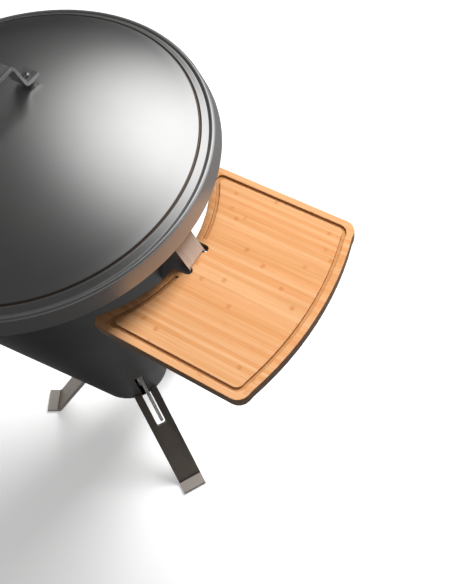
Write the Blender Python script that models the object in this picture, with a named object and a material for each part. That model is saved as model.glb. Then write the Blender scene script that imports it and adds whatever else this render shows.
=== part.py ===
"""Conical charcoal grill: sheet-steel cone on three bent flat-bar legs, a regulating lever that raises
and lowers the charcoal bowl, a lift-off lid with handle and thermometer, and a bamboo side board."""

import math

import bmesh
import bpy
from mathutils import Matrix, Vector

# ---- driving dimensions, in metres ------------------------------------------------------------
CLEARANCE = 0.0003          # between pieces that touch
RUNNING_GAP = 0.0006        # between a moving piece and what guides it
SIDES = 48                  # facets round a large turned piece
SMALL_SIDES = 20            # facets round a small one

RIM_RADIUS = 0.263          # outer cone at its top edge
RIM_HEIGHT = 0.875
FLOOR_RADIUS = 0.075        # outer cone at its floor, before the corner is rounded
FLOOR_HEIGHT = 0.180
FLOOR_CORNER = 0.014
CONE_SHEET = 0.0015

RING_SHEET = 0.0025         # flat ring that closes the gap between the two cones
RING_OVERHANG = 0.005
RING_WIDTH = 0.0245
LINER_SHEET = 0.001
LINER_GAP = 0.0115          # air gap between outer cone and liner, across
LINER_END_HEIGHT = 0.400
LINER_FLANGE = 0.012

LEG_COUNT = 3
LEG_WIDTH = 0.051
LEG_THICKNESS = 0.008
LEG_TOP_HEIGHT = 0.2046     # top face of the level run that lies on the hub
LEG_INNER_END = 0.0175
LEG_BEND_REACH = 0.083      # where the level run turns down
LEG_REACH = 0.240           # tip of the foot
FOOT_LENGTH = 0.026
LEG_BEND_RADIUS = 0.010
FRONT_LEG_ANGLE = -30       # degrees from the board's direction, +X
LEG_SLOT_WIDTH = 0.019
LEG_SLOT_START = 0.058
LEG_SLOT_RUN = 0.086        # length of the slot down the slope
LEG_SLOT_CORNER = 0.004
LEG_NOTCH_GAP = 0.0005      # round a leg where it passes through the cone
LEG_NOTCH_DROP = 0.0020     # and under it, where the bend begins

HUB_RADIUS = 0.056
HUB_THICKNESS = 0.006
HUB_RING_RADIUS = 0.044
HUB_RING_WALL = 0.006
BOLT_REACH = 0.030
BOLT_SPREAD = 0.016
BOLT_RADIUS = 0.0037
BOLT_HEAD_RADIUS = 0.0065
BOLT_HEAD_HEIGHT = 0.005

LEVER_THICKNESS = 0.007
LEVER_OFFSET = 0.0035       # middle of the plate from the leg's middle plane
LEVER_DEPTH = 0.013
LEVER_PROUD = 0.001         # above the leg's face
LEVER_END_GAP = 0.006       # to the end of the leg's slot
LEVER_ARM_DEPTH = 0.008     # inner arm, from the pivot to the stem
LEVER_ARM_REACH = 0.066     # pivot to the middle of the nose that carries the stem
LEVER_NECK_REACH = 0.054    # lowest point of the arm, which dips clear of the stem's shoe
LEVER_NECK_DROP = 0.012
LEVER_NOSE_RADIUS = 0.0055
LEVER_BOSS_RADIUS = 0.008
PIVOT_REACH = 0.062
PIVOT_HEIGHT = 0.252
PIVOT_RADIUS = 0.003
CONE_SLOT_WIDTH = 0.016
CONE_SLOT_TOP = 0.345

CHEEK_SHEET = 0.0028
CHEEK_GAP = 0.0005
CHEEK_INNER_REACH = 0.042
CHEEK_OUTER_REACH = 0.074
BRACKET_DECK_HEIGHT = 0.268  # underside of the deck that carries the stem guide
BRACKET_DECK_SHEET = 0.003
BRACKET_DECK_HALF = 0.014
BRACKET_DECK_END = 0.016    # beyond the cone's axis

STEM_RADIUS = 0.005
STEM_SHOE_RADIUS = 0.009
STEM_COLLAR_RADIUS = 0.014
STEM_COLLAR_HEIGHT = 0.004
STEM_SHOE_HEIGHT = 0.003
GUIDE_WALL = 0.0022
GUIDE_FLANGE_RADIUS = 0.013
GUIDE_FLANGE_HEIGHT = 0.003
GUIDE_SPIGOT = 0.0028       # reaches down into the deck's hole
GUIDE_TUBE_HEIGHT = 0.075

ASH_PAN_FLOOR_RADIUS = 0.052
ASH_PAN_RIM_RADIUS = 0.084
ASH_PAN_HEIGHT = 0.036
ASH_PAN_SHEET = 0.0012

BOWL_FLOOR_HEIGHT = 0.480
BOWL_FLOOR_RADIUS = 0.050
BOWL_RIM_RADIUS = 0.158
BOWL_RIM_HEIGHT = 0.602
BOWL_SHEET = 0.0015
BOWL_SLOT_COUNT = 12
BOWL_SLOT_WIDTH = 0.007
BOWL_SLOT_LOW = 0.515
BOWL_SLOT_HIGH = 0.580

GRATE_WIRE_RADIUS = 0.004
GRATE_BAR_RADIUS = 0.003
GRATE_HEIGHT = 0.835        # middle of the outer wire
GRATE_BAR_COUNT = 17
GRATE_SEAT_GAP = 0.0006

LID_SHEET = 0.0012
LID_RISE = 0.068            # dome above its own edge
LID_EDGE_RADIUS = 0.256
LID_EDGE_HEIGHT = 0.9025
LID_LIP_DROP = 0.0012       # below the dome's edge, where the groove starts
GROOVE_RADIUS = 0.261
GROOVE_HALF = 0.0023
GROOVE_DROP = 0.0034        # of the groove's floor, below the dome's edge
BEAD_RADIUS = 0.278
BEAD_HALF = 0.0040
BEAD_DROP = 0.0083          # of the bead's crest
BEAD_RISE = 0.0018
SKIRT_RADIUS = 0.2868
SKIRT_HEIGHT = 0.8695
SEAT_RING_RADIUS = 0.2575
SEAT_RING_WALL = 0.002

HANDLE_ANGLE = 90
HANDLE_SPAN = 0.150
HANDLE_RISE = 0.046
HANDLE_WIDTH = 0.026
HANDLE_THICKNESS = 0.005
HANDLE_FOOT = 0.024
HANDLE_BEND = 0.012
HANDLE_LEAN = 0.010
HANDLE_SCREW_RADIUS = 0.0028
SPACER_RADIUS = 0.010
SPACER_HEIGHT = 0.004

THERMOMETER_ANGLE = 240
THERMOMETER_REACH = 0.135
THERMOMETER_RADIUS = 0.030
THERMOMETER_HEIGHT = 0.013
CASE_WALL = 0.002
DIAL_SHEET = 0.001
LENS_THICKNESS = 0.002
LENS_RECESS = 0.0015
NEEDLE_PIN_RADIUS = 0.001
NEEDLE_SHEET = 0.0008
PROBE_RADIUS = 0.003
PROBE_LENGTH = 0.075
NUT_RADIUS = 0.008
NUT_HEIGHT = 0.004

BOARD_TOP = 0.814
BOARD_THICKNESS = 0.018
BOARD_HALF_WIDTH = 0.150
BOARD_INNER_ARC = 0.205     # radius of the hollow side
BOARD_INNER_REACH = 0.272   # hollow side at the middle
BOARD_OUTER_ARC = 0.460
BOARD_REACH = 0.478
BOARD_INNER_CORNER = 0.018
BOARD_OUTER_CORNER = 0.022
NOTCH_SPREAD = 0.020        # middle of a notch from the board's middle line
NOTCH_WIDTH = 0.012
NOTCH_REACH = 0.296
GROOVE_INSET = 0.010
GROOVE_WIDTH = 0.005
GROOVE_DEPTH = 0.0035
BOARD_MIDDLE_REACH = 0.35   # between the hollow side and the bowed side
GROOVE_GAP = 0.034          # half of the stretch with no groove, at the bracket

HANGER_SHEET = 0.0025
HANGER_HALF_WIDTH = 0.0185
HANGER_HOOK_HEIGHT = 0.851
HANGER_HOOK_DROP = 0.014
HANGER_HOOK_GAP = 0.0015
HANGER_SHOULDER = 0.275
HANGER_TOE = 0.290
HANGER_TOE_LIFT = 0.0018
HANGER_SHELF_REACH = 0.350
HANGER_HEEL_HEIGHT = 0.742


# ---- materials --------------------------------------------------------------------------------
def material(name, colour, roughness, metallic):
    made = bpy.data.materials.new(name)
    made.use_nodes = True
    shader = made.node_tree.nodes["Principled BSDF"]
    shader.inputs["Base Color"].default_value = (*colour, 1.0)
    shader.inputs["Roughness"].default_value = roughness
    shader.inputs["Metallic"].default_value = metallic
    return made


# ---- outlines ---------------------------------------------------------------------------------
def rounded(path, radius, steps=4):
    """The open path with each inner corner turned into an arc of this radius."""
    result = [path[0]]
    for before, corner, after in zip(path, path[1:], path[2:]):
        corner = Vector(corner)
        back = (Vector(before) - corner).normalized()
        ahead = (Vector(after) - corner).normalized()
        half = back.angle(ahead) / 2
        setback = radius / math.tan(half)
        centre = corner + (back + ahead).normalized() * radius / math.sin(half)
        start = corner + back * setback - centre
        turn = math.pi - 2 * half
        if start.x * (corner + ahead * setback - centre).y < start.y * (corner + ahead * setback - centre).x:
            turn = -turn
        for step in range(steps + 1):
            angle = turn * step / steps
            result.append(tuple(centre + Matrix.Rotation(angle, 2) @ start))
    result.append(path[-1])
    return result


def strip(path, thickness):
    """Closed outline of a sheet whose middle follows the path, with mitred bends."""
    points = [Vector(p) for p in path]
    sides = ([], [])
    for index, point in enumerate(points):
        ahead = (points[min(index + 1, len(points) - 1)] - point)
        back = (point - points[max(index - 1, 0)])
        ahead = ahead.normalized() if ahead.length else back.normalized()
        back = back.normalized() if back.length else ahead
        tangent = (ahead + back).normalized()
        normal = Vector((-tangent.y, tangent.x))
        reach = thickness / 2 / max(normal.dot(Vector((-ahead.y, ahead.x))), 0.2)
        sides[0].append(tuple(point + normal * reach))
        sides[1].append(tuple(point - normal * reach))
    return sides[0] + sides[1][::-1]


def arc(centre, radius, start, end, steps):
    """Points along a circular arc, angles in degrees."""
    angles = [math.radians(start + (end - start) * step / steps) for step in range(steps + 1)]
    return [(centre[0] + radius * math.cos(a), centre[1] + radius * math.sin(a)) for a in angles]


# ---- making objects ---------------------------------------------------------------------------
def finish(name, mesh, finish_material, parent, smooth=None):
    made = bpy.data.objects.new(name, mesh)
    bpy.context.scene.collection.objects.link(made)
    made.parent = parent
    if finish_material is None:
        made.hide_render = True
        made.display_type = "WIRE"
    else:
        mesh.materials.append(finish_material)
    if smooth:
        mesh.shade_smooth()
        mesh.set_sharp_from_angle(angle=math.radians(smooth))
    return made


def mesh_from(shape, name):
    bmesh.ops.recalc_face_normals(shape, faces=shape.faces)
    mesh = bpy.data.meshes.new(name)
    shape.to_mesh(mesh)
    shape.free()
    return mesh


def turned(name, outline, finish_material, parent, sides=SIDES):
    """Solid of revolution about the parent's Z axis, from a closed outline of (radius, height)."""
    shape = bmesh.new()
    rings = []
    for radius, height in outline:
        if radius < 1e-7:
            rings.append([shape.verts.new((0, 0, height))] * sides)
            continue
        angles = [math.tau * step / sides for step in range(sides)]
        around = [(radius * math.cos(a), radius * math.sin(a), height) for a in angles]
        rings.append([shape.verts.new(place) for place in around])
    for low, high in zip(rings, rings[1:] + rings[:1]):
        for step in range(sides):
            following = (step + 1) % sides
            corners = [low[step], low[following], high[following], high[step]]
            distinct = list(dict.fromkeys(corners))
            if len(distinct) > 2:
                shape.faces.new(distinct)
    return finish(name, mesh_from(shape, name), finish_material, parent, smooth=35)


def upright(name, outline, low, high, finish_material, parent, smooth=None):
    """Prism that stands on an outline in the parent's XY plane."""
    corners = [(x, y, low) for x, y in outline]
    return prism(name, corners, Vector((0, 0, high - low)), finish_material, parent, smooth)


def sideways(name, outline, near, far, finish_material, parent, smooth=None):
    """Prism from an outline of (reach, height), between two places along the parent's Y axis."""
    corners = [(u, near, z) for u, z in outline]
    return prism(name, corners, Vector((0, far - near, 0)), finish_material, parent, smooth)


def prism(name, corners, sweep, finish_material, parent, smooth=None):
    shape = bmesh.new()
    bottom = [shape.verts.new(corner) for corner in corners]
    top = [shape.verts.new(Vector(corner) + sweep) for corner in corners]
    shape.faces.new(bottom)
    shape.faces.new(top[::-1])
    for index in range(len(corners)):
        following = (index + 1) % len(corners)
        shape.faces.new((bottom[index], bottom[following], top[following], top[index]))
    return finish(name, mesh_from(shape, name), finish_material, parent, smooth)


def rectangle(low, high):
    return [(low[0], low[1]), (high[0], low[1]), (high[0], high[1]), (low[0], high[1])]


def circle(radius, sides, centre=(0, 0), turn=0.0):
    angles = [turn + math.tau * step / sides for step in range(sides)]
    return [(centre[0] + radius * math.cos(a), centre[1] + radius * math.sin(a)) for a in angles]


def combine(target, operation, *others):
    for other in others:
        other.hide_render = True
        other.display_type = "WIRE"
        modifier = target.modifiers.new(other.name, "BOOLEAN")
        modifier.operation = operation
        modifier.solver = "EXACT"
        modifier.object = other
    return target


def empty(name, location=(0, 0, 0), rotation=(0, 0, 0), parent=None):
    made = bpy.data.objects.new(name, None)
    bpy.context.scene.collection.objects.link(made)
    made.location = location
    made.rotation_euler = rotation
    made.parent = parent
    return made


# ---- what follows from the driving dimensions --------------------------------------------------
CONE_SLOPE = (RIM_RADIUS - FLOOR_RADIUS) / (RIM_HEIGHT - FLOOR_HEIGHT)


def cone_radius(height):
    """Outer face of the outer cone."""
    return FLOOR_RADIUS + CONE_SLOPE * (height - FLOOR_HEIGHT)


def liner_radius(height):
    """Outer face of the liner."""
    return cone_radius(height) - CONE_SHEET - LINER_GAP


LEG_BEND = Vector((LEG_BEND_REACH, LEG_TOP_HEIGHT))
LEG_HEEL = Vector((LEG_REACH - FOOT_LENGTH, LEG_THICKNESS))
LEG_DOWN = (LEG_HEEL - LEG_BEND).normalized()
LEG_OUT = Vector((-LEG_DOWN.y, LEG_DOWN.x))      # away from the slope's top face
LEG_BOTTOM_HEIGHT = LEG_TOP_HEIGHT - LEG_THICKNESS


def leg_middle_path():
    """Middle line of the bar, from the top faces of its three runs."""
    half = LEG_THICKNESS / 2
    bend_drop = half * math.tan((LEG_DOWN.angle(Vector((1, 0)))) / 2)
    bend = LEG_BEND + Vector((-bend_drop, -half))
    heel = LEG_HEEL + Vector((-bend_drop, -half))
    return [(LEG_INNER_END, LEG_TOP_HEIGHT - half), tuple(bend), tuple(heel), (LEG_REACH, half)]


def clear_scene():
    for made in list(bpy.data.objects):
        bpy.data.objects.remove(made)


# ---- body --------------------------------------------------------------------------------------
def build_cones(axis, coated, enamel, steel):
    half = CONE_SHEET / 2
    wall_tilt = math.atan(CONE_SLOPE)
    inset = half / math.cos(wall_tilt)
    floor_edge = cone_radius(FLOOR_HEIGHT + half) - inset
    path = rounded(
        [(0, FLOOR_HEIGHT + half), (floor_edge, FLOOR_HEIGHT + half), (RIM_RADIUS - inset, RIM_HEIGHT)],
        FLOOR_CORNER,
    )
    cone = turned("outer_cone", strip(path, CONE_SHEET), coated, axis)
    for index in range(LEG_COUNT):
        spoke = leg_spoke(index, axis)
        gap = LEG_NOTCH_GAP
        notch = sideways(
            f"leg_notch_{index}",
            rectangle((HUB_RADIUS, LEG_BOTTOM_HEIGHT - LEG_NOTCH_DROP), (RIM_RADIUS, LEG_TOP_HEIGHT + gap)),
            -LEG_WIDTH / 2 - gap, LEG_WIDTH / 2 + gap, None, spoke,
        )
        combine(cone, "DIFFERENCE", notch)
    slot = sideways(
        "lever_slot",
        rectangle((HUB_RADIUS, LEG_TOP_HEIGHT - LEVER_DEPTH - LEG_NOTCH_DROP), (RIM_RADIUS, CONE_SLOT_TOP)),
        -CONE_SLOT_WIDTH / 2, CONE_SLOT_WIDTH / 2, None, leg_spoke(0, axis),
    )
    hook_slot = sideways(
        "hook_slot",
        rectangle(
            (cone_radius(HANGER_HOOK_HEIGHT) - 0.010, HANGER_HOOK_HEIGHT - HANGER_SHEET),
            (cone_radius(HANGER_HOOK_HEIGHT) + 0.010, HANGER_HOOK_HEIGHT + HANGER_SHEET),
        ),
        -HANGER_HALF_WIDTH - 0.001, HANGER_HALF_WIDTH + 0.001, None, axis,
    )
    combine(cone, "DIFFERENCE", slot, hook_slot)

    ring_low = RIM_HEIGHT + CLEARANCE
    ring_outer = RIM_RADIUS + RING_OVERHANG
    turned(
        "rim_ring",
        rectangle((ring_outer - RING_WIDTH, ring_low), (ring_outer, ring_low + RING_SHEET)),
        steel, axis,
    )

    flange_height = RIM_HEIGHT - LINER_SHEET / 2
    inset = LINER_SHEET / 2
    turned(
        "inner_cone",
        strip(
            [
                (liner_radius(LINER_END_HEIGHT) - inset, LINER_END_HEIGHT),
                (liner_radius(flange_height) - inset, flange_height),
                (liner_radius(flange_height) + LINER_FLANGE - CONE_SHEET, flange_height),
            ],
            LINER_SHEET,
        ),
        enamel, axis,
    )


# ---- stand -------------------------------------------------------------------------------------
def leg_spoke(index, axis):
    """Empty on the cone's axis whose X points along leg number index; leg 0 is the front one."""
    turn = math.radians(FRONT_LEG_ANGLE + 360 / LEG_COUNT * index)
    return empty(f"spoke_{index}", rotation=(0, 0, turn), parent=axis)


def build_stand(axis, bar_steel, hub_steel, bolt_steel):
    hub_top = LEG_BOTTOM_HEIGHT - CLEARANCE
    floor_top = FLOOR_HEIGHT + CONE_SHEET + CLEARANCE
    ring_inner = HUB_RING_RADIUS - HUB_RING_WALL
    hub = turned(
        "hub_plate",
        [
            (0, hub_top - HUB_THICKNESS), (ring_inner, hub_top - HUB_THICKNESS), (ring_inner, floor_top),
            (HUB_RING_RADIUS, floor_top), (HUB_RING_RADIUS, hub_top - HUB_THICKNESS),
            (HUB_RADIUS, hub_top - HUB_THICKNESS), (HUB_RADIUS, hub_top), (0, hub_top),
        ],
        hub_steel, axis, sides=36,
    )
    names = ("leg_front", "leg_rear_right", "leg_rear_left")
    for index, name in enumerate(names):
        spoke = leg_spoke(index, axis)
        outline = strip(rounded(leg_middle_path(), LEG_BEND_RADIUS), LEG_THICKNESS)
        leg = sideways(name, outline, -LEG_WIDTH / 2, LEG_WIDTH / 2, bar_steel, spoke)
        for side in (-1, 1):
            place = (BOLT_REACH, side * BOLT_SPREAD)
            bore = upright(
                f"bolt_bore_{index}{side}", circle(BOLT_RADIUS + CLEARANCE, 12, place),
                FLOOR_HEIGHT + CONE_SHEET, LEG_TOP_HEIGHT + 0.01, None, spoke,
            )
            combine(leg, "DIFFERENCE", bore)
            combine(hub, "DIFFERENCE", bore)
            number = 2 * index + (side + 3) // 2
            head_low = LEG_TOP_HEIGHT + CLEARANCE
            shank = upright(
                f"leg_bolt_{number}", circle(BOLT_RADIUS, 12, place), hub_top - HUB_THICKNESS + 0.001,
                head_low + BOLT_HEAD_HEIGHT / 2, bolt_steel, spoke,
            )
            head = upright(
                f"bolt_head_{number}", circle(BOLT_HEAD_RADIUS, 6, place), head_low,
                head_low + BOLT_HEAD_HEIGHT, None, spoke,
            )
            combine(shank, "UNION", head)
        if index == 0:
            combine(leg, "DIFFERENCE", leg_slot(spoke))


def leg_slot(spoke):
    """Cutter for the front leg's long slot: through the level run's end and down the slope."""
    middle = -LEG_THICKNESS / 2
    end = LEG_BEND + LEG_DOWN * LEG_SLOT_RUN + LEG_OUT * middle
    bend = LEG_BEND + LEG_DOWN * 0.001 + LEG_OUT * middle
    path = [(LEG_SLOT_START, LEG_TOP_HEIGHT + middle), tuple(bend), tuple(end)]
    depth = 3 * LEG_THICKNESS
    cutter = sideways("leg_slot", strip(path, depth), -LEG_SLOT_WIDTH / 2, LEG_SLOT_WIDTH / 2, None, spoke)
    shape = bmesh.new()
    shape.from_mesh(cutter.data)

    def at_end(vert):
        offset = Vector((vert.co.x, vert.co.z)) - end
        return abs(offset.dot(LEG_DOWN)) < 1e-5 and abs(offset.dot(LEG_OUT)) < depth

    corners = [edge for edge in shape.edges if all(map(at_end, edge.verts))
               and abs(edge.verts[0].co.y - edge.verts[1].co.y) < 1e-6]
    bmesh.ops.bevel(shape, geom=corners, offset=LEG_SLOT_CORNER, segments=4, profile=0.5, affect="EDGES")
    shape.to_mesh(cutter.data)
    shape.free()
    return cutter


# ---- regulating gear ---------------------------------------------------------------------------
def build_lever(axis, lever_steel, bracket_steel, pin_steel):
    spoke = leg_spoke(0, axis)
    pivot = empty("lever_pivot", location=(PIVOT_REACH, 0, PIVOT_HEIGHT), parent=spoke)
    middle = LEVER_PROUD - LEVER_DEPTH / 2
    knee = LEG_BEND + LEG_DOWN * 0.006 + LEG_OUT * middle
    tip = LEG_BEND + LEG_DOWN * (LEG_SLOT_RUN - LEVER_END_GAP - LEVER_DEPTH / 2) + LEG_OUT * middle
    path = [(0, 0), (knee.x - PIVOT_REACH, knee.y - PIVOT_HEIGHT), (tip.x - PIVOT_REACH, tip.y - PIVOT_HEIGHT)]
    nose = (-LEVER_ARM_REACH, 0)
    arm = [nose, (-LEVER_NECK_REACH, -LEVER_NECK_DROP), (0, 0)]
    near = LEVER_OFFSET - LEVER_THICKNESS / 2
    far = LEVER_OFFSET + LEVER_THICKNESS / 2
    lever = sideways("regulating_lever", strip(path, LEVER_DEPTH), near, far, lever_steel, pivot)
    more = {
        "lever_arm": strip(arm, LEVER_ARM_DEPTH),
        "lever_nose": circle(LEVER_NOSE_RADIUS, 16, nose),
        "lever_boss": circle(LEVER_BOSS_RADIUS, 16),
        "lever_end": circle(LEVER_DEPTH / 2, 16, path[-1], math.pi / 16),
    }
    for name, outline in more.items():
        combine(lever, "UNION", sideways(name, outline, near, far, None, pivot))
    bore = sideways("lever_bore", circle(PIVOT_RADIUS + CLEARANCE, 16), near - 0.01, far + 0.01, None, pivot)
    combine(lever, "DIFFERENCE", bore)

    deck_top = BRACKET_DECK_HEIGHT + BRACKET_DECK_SHEET
    low = LEG_TOP_HEIGHT + CLEARANCE
    cheeks = []
    for number, inner in enumerate((near - CHEEK_GAP - CHEEK_SHEET, far + CHEEK_GAP)):
        cheeks.append(sideways(
            f"cheek_{number}",
            [(CHEEK_INNER_REACH, low), (LEG_SLOT_START, low), (CHEEK_OUTER_REACH, LEG_TOP_HEIGHT + 0.020),
             (CHEEK_OUTER_REACH, deck_top), (CHEEK_INNER_REACH, deck_top)],
            inner, inner + CHEEK_SHEET, None, spoke,
        ))
    bracket = upright(
        "lever_bracket",
        rectangle((-BRACKET_DECK_END, -BRACKET_DECK_HALF), (CHEEK_OUTER_REACH, BRACKET_DECK_HALF)),
        BRACKET_DECK_HEIGHT, deck_top, bracket_steel, spoke,
    )
    foot = upright(
        "bracket_foot",
        rectangle((CHEEK_INNER_REACH, -BRACKET_DECK_HALF), (LEG_SLOT_START - 0.002, BRACKET_DECK_HALF)),
        low, low + CHEEK_SHEET, None, spoke,
    )
    combine(bracket, "UNION", *cheeks, foot)
    deck_bore = upright(
        "deck_bore", circle(STEM_RADIUS + RUNNING_GAP + GUIDE_WALL + CLEARANCE, SMALL_SIDES),
        BRACKET_DECK_HEIGHT - 0.01, deck_top + 0.01, None, spoke,
    )
    pin_bore = sideways(
        "pin_bore", circle(PIVOT_RADIUS + CLEARANCE, 16, (PIVOT_REACH, PIVOT_HEIGHT)),
        near - 0.02, far + 0.02, None, spoke,
    )
    combine(bracket, "DIFFERENCE", deck_bore, pin_bore)

    pin_near = near - CHEEK_GAP - CHEEK_SHEET - CLEARANCE
    pin = sideways(
        "pivot_pin", circle(PIVOT_RADIUS, 16, (PIVOT_REACH, PIVOT_HEIGHT)),
        pin_near - 0.0015, far + CHEEK_GAP + CHEEK_SHEET + 0.0025, pin_steel, spoke, smooth=35,
    )
    pin_head = sideways(
        "pin_head", circle(PIVOT_RADIUS + 0.002, 16, (PIVOT_REACH, PIVOT_HEIGHT)),
        pin_near - 0.003, pin_near, None, spoke,
    )
    combine(pin, "UNION", pin_head)


def build_stem_and_bowl(axis, steel, bowl_steel, pan_steel):
    shoe_low = PIVOT_HEIGHT + LEVER_NOSE_RADIUS + CLEARANCE
    shoe_top = shoe_low + STEM_SHOE_HEIGHT
    stem_top = BOWL_FLOOR_HEIGHT - CLEARANCE
    collar = stem_top - STEM_COLLAR_HEIGHT
    turned(
        "lift_stem",
        [
            (0, shoe_low), (STEM_SHOE_RADIUS, shoe_low), (STEM_SHOE_RADIUS, shoe_top), (STEM_RADIUS, shoe_top),
            (STEM_RADIUS, collar), (STEM_COLLAR_RADIUS, collar), (STEM_COLLAR_RADIUS, stem_top), (0, stem_top),
        ],
        steel, axis, sides=SMALL_SIDES,
    )

    guide_inner = STEM_RADIUS + RUNNING_GAP
    guide_outer = guide_inner + GUIDE_WALL
    deck_top = BRACKET_DECK_HEIGHT + BRACKET_DECK_SHEET
    flange_low = deck_top + CLEARANCE
    flange_top = flange_low + GUIDE_FLANGE_HEIGHT
    turned(
        "stem_guide",
        [
            (guide_inner, flange_low - GUIDE_SPIGOT), (guide_outer, flange_low - GUIDE_SPIGOT),
            (guide_outer, flange_low), (GUIDE_FLANGE_RADIUS, flange_low), (GUIDE_FLANGE_RADIUS, flange_top),
            (guide_outer, flange_top), (guide_outer, flange_low + GUIDE_TUBE_HEIGHT),
            (guide_inner, flange_low + GUIDE_TUBE_HEIGHT),
        ],
        steel, axis, sides=SMALL_SIDES,
    )

    pan_floor = flange_top + CLEARANCE + ASH_PAN_SHEET / 2
    chimney = guide_outer + RUNNING_GAP + ASH_PAN_SHEET / 2
    turned(
        "ash_pan",
        strip(
            [
                (chimney, pan_floor + ASH_PAN_HEIGHT), (chimney, pan_floor), (ASH_PAN_FLOOR_RADIUS, pan_floor),
                (ASH_PAN_RIM_RADIUS, pan_floor + ASH_PAN_HEIGHT),
            ],
            ASH_PAN_SHEET,
        ),
        pan_steel, axis, sides=36,
    )

    half = BOWL_SHEET / 2
    bowl = turned(
        "charcoal_bowl",
        strip(
            rounded(
                [(0, BOWL_FLOOR_HEIGHT + half), (BOWL_FLOOR_RADIUS, BOWL_FLOOR_HEIGHT + half),
                 (BOWL_RIM_RADIUS, BOWL_RIM_HEIGHT)],
                0.010, 2,
            ),
            BOWL_SHEET,
        ),
        bowl_steel, axis, sides=36,
    )
    for index in range(BOWL_SLOT_COUNT):
        turn = math.tau * index / BOWL_SLOT_COUNT
        spoke = empty(f"bowl_spoke_{index}", rotation=(0, 0, turn), parent=axis)
        combine(bowl, "DIFFERENCE", sideways(
            f"bowl_slot_{index}",
            rectangle((0.02, BOWL_SLOT_LOW), (BOWL_RIM_RADIUS + 0.02, BOWL_SLOT_HIGH)),
            -BOWL_SLOT_WIDTH / 2, BOWL_SLOT_WIDTH / 2, None, spoke,
        ))


# ---- cooking grate -----------------------------------------------------------------------------
def build_grate(axis, rod_steel):
    seat = liner_radius(GRATE_HEIGHT) - LINER_SHEET / math.cos(math.atan(CONE_SLOPE))
    middle = seat - GRATE_SEAT_GAP - GRATE_WIRE_RADIUS / math.cos(math.atan(CONE_SLOPE))
    wire = circle(GRATE_WIRE_RADIUS, 8, (middle, GRATE_HEIGHT), math.pi / 8)
    grate = turned("cooking_grate", wire, rod_steel, axis)
    spacing = 2 * middle / (GRATE_BAR_COUNT + 1)
    for index in range(GRATE_BAR_COUNT):
        across = spacing * (index + 1) - middle
        reach = math.sqrt(middle**2 - across**2)
        rod = sideways(
            f"grate_bar_{index}",
            circle(GRATE_BAR_RADIUS, 6, (across, GRATE_HEIGHT + 0.0006), math.pi / 6),
            -reach, reach, None, axis,
        )
        combine(grate, "UNION", rod)
    for index, across in enumerate((-0.45 * middle, 0.45 * middle)):
        reach = math.sqrt(middle**2 - across**2)
        lower = GRATE_HEIGHT - GRATE_WIRE_RADIUS / 2 - GRATE_BAR_RADIUS / 2
        rod = prism(
            f"grate_cross_{index}",
            [(-reach, across + y, z) for y, z in circle(GRATE_BAR_RADIUS, 8, (0, lower), math.pi / 8)],
            Vector((2 * reach, 0, 0)), None, axis,
        )
        combine(grate, "UNION", rod)


# ---- lid ---------------------------------------------------------------------------------------
DOME_RADIUS = (LID_EDGE_RADIUS**2 + LID_RISE**2) / (2 * LID_RISE)


def dome_height(radius):
    """Middle of the lid's sheet on the dome."""
    return LID_EDGE_HEIGHT + LID_RISE - DOME_RADIUS + math.sqrt(DOME_RADIUS**2 - radius**2)


def build_lid(axis, satin, ring_steel):
    dome = [(LID_EDGE_RADIUS * step / 7, dome_height(LID_EDGE_RADIUS * step / 7)) for step in range(8)]
    lip_height = LID_EDGE_HEIGHT - LID_LIP_DROP
    groove_height = LID_EDGE_HEIGHT - GROOVE_DROP
    bead_height = LID_EDGE_HEIGHT - BEAD_DROP
    path = dome + [
        (GROOVE_RADIUS - GROOVE_HALF, lip_height), (GROOVE_RADIUS, groove_height),
        (GROOVE_RADIUS + GROOVE_HALF, groove_height + 0.0008),
        (BEAD_RADIUS - BEAD_HALF * 1.4, bead_height - BEAD_RISE),
        (BEAD_RADIUS - BEAD_HALF * 0.6, bead_height - BEAD_RISE / 6), (BEAD_RADIUS, bead_height),
        (BEAD_RADIUS + BEAD_HALF * 0.6, bead_height - BEAD_RISE), (SKIRT_RADIUS, SKIRT_HEIGHT),
    ]
    lid = turned("lid_shell", strip(path, LID_SHEET), satin, axis)
    screw_bores = []
    handle_spoke = empty("handle_spoke", rotation=(0, 0, math.radians(HANDLE_ANGLE)), parent=axis)
    for number, side in enumerate((-1, 1)):
        place = (side * (HANDLE_SPAN / 2 - HANDLE_FOOT / 2), 0)
        screw_bores.append(upright(
            f"screw_bore_{number}", circle(HANDLE_SCREW_RADIUS + CLEARANCE, 12, place),
            LID_EDGE_HEIGHT, LID_EDGE_HEIGHT + LID_RISE + 0.02, None, handle_spoke,
        ))
    combine(lid, "DIFFERENCE", *screw_bores)

    ring_low = RIM_HEIGHT + CLEARANCE + RING_SHEET + CLEARANCE
    inner = SEAT_RING_RADIUS - SEAT_RING_WALL
    ring_top = lip_height - LID_SHEET / 2 - CLEARANCE
    turned("lid_seat_ring", rectangle((inner, ring_low), (SEAT_RING_RADIUS, ring_top)), ring_steel, axis)
    return lid, handle_spoke


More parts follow.
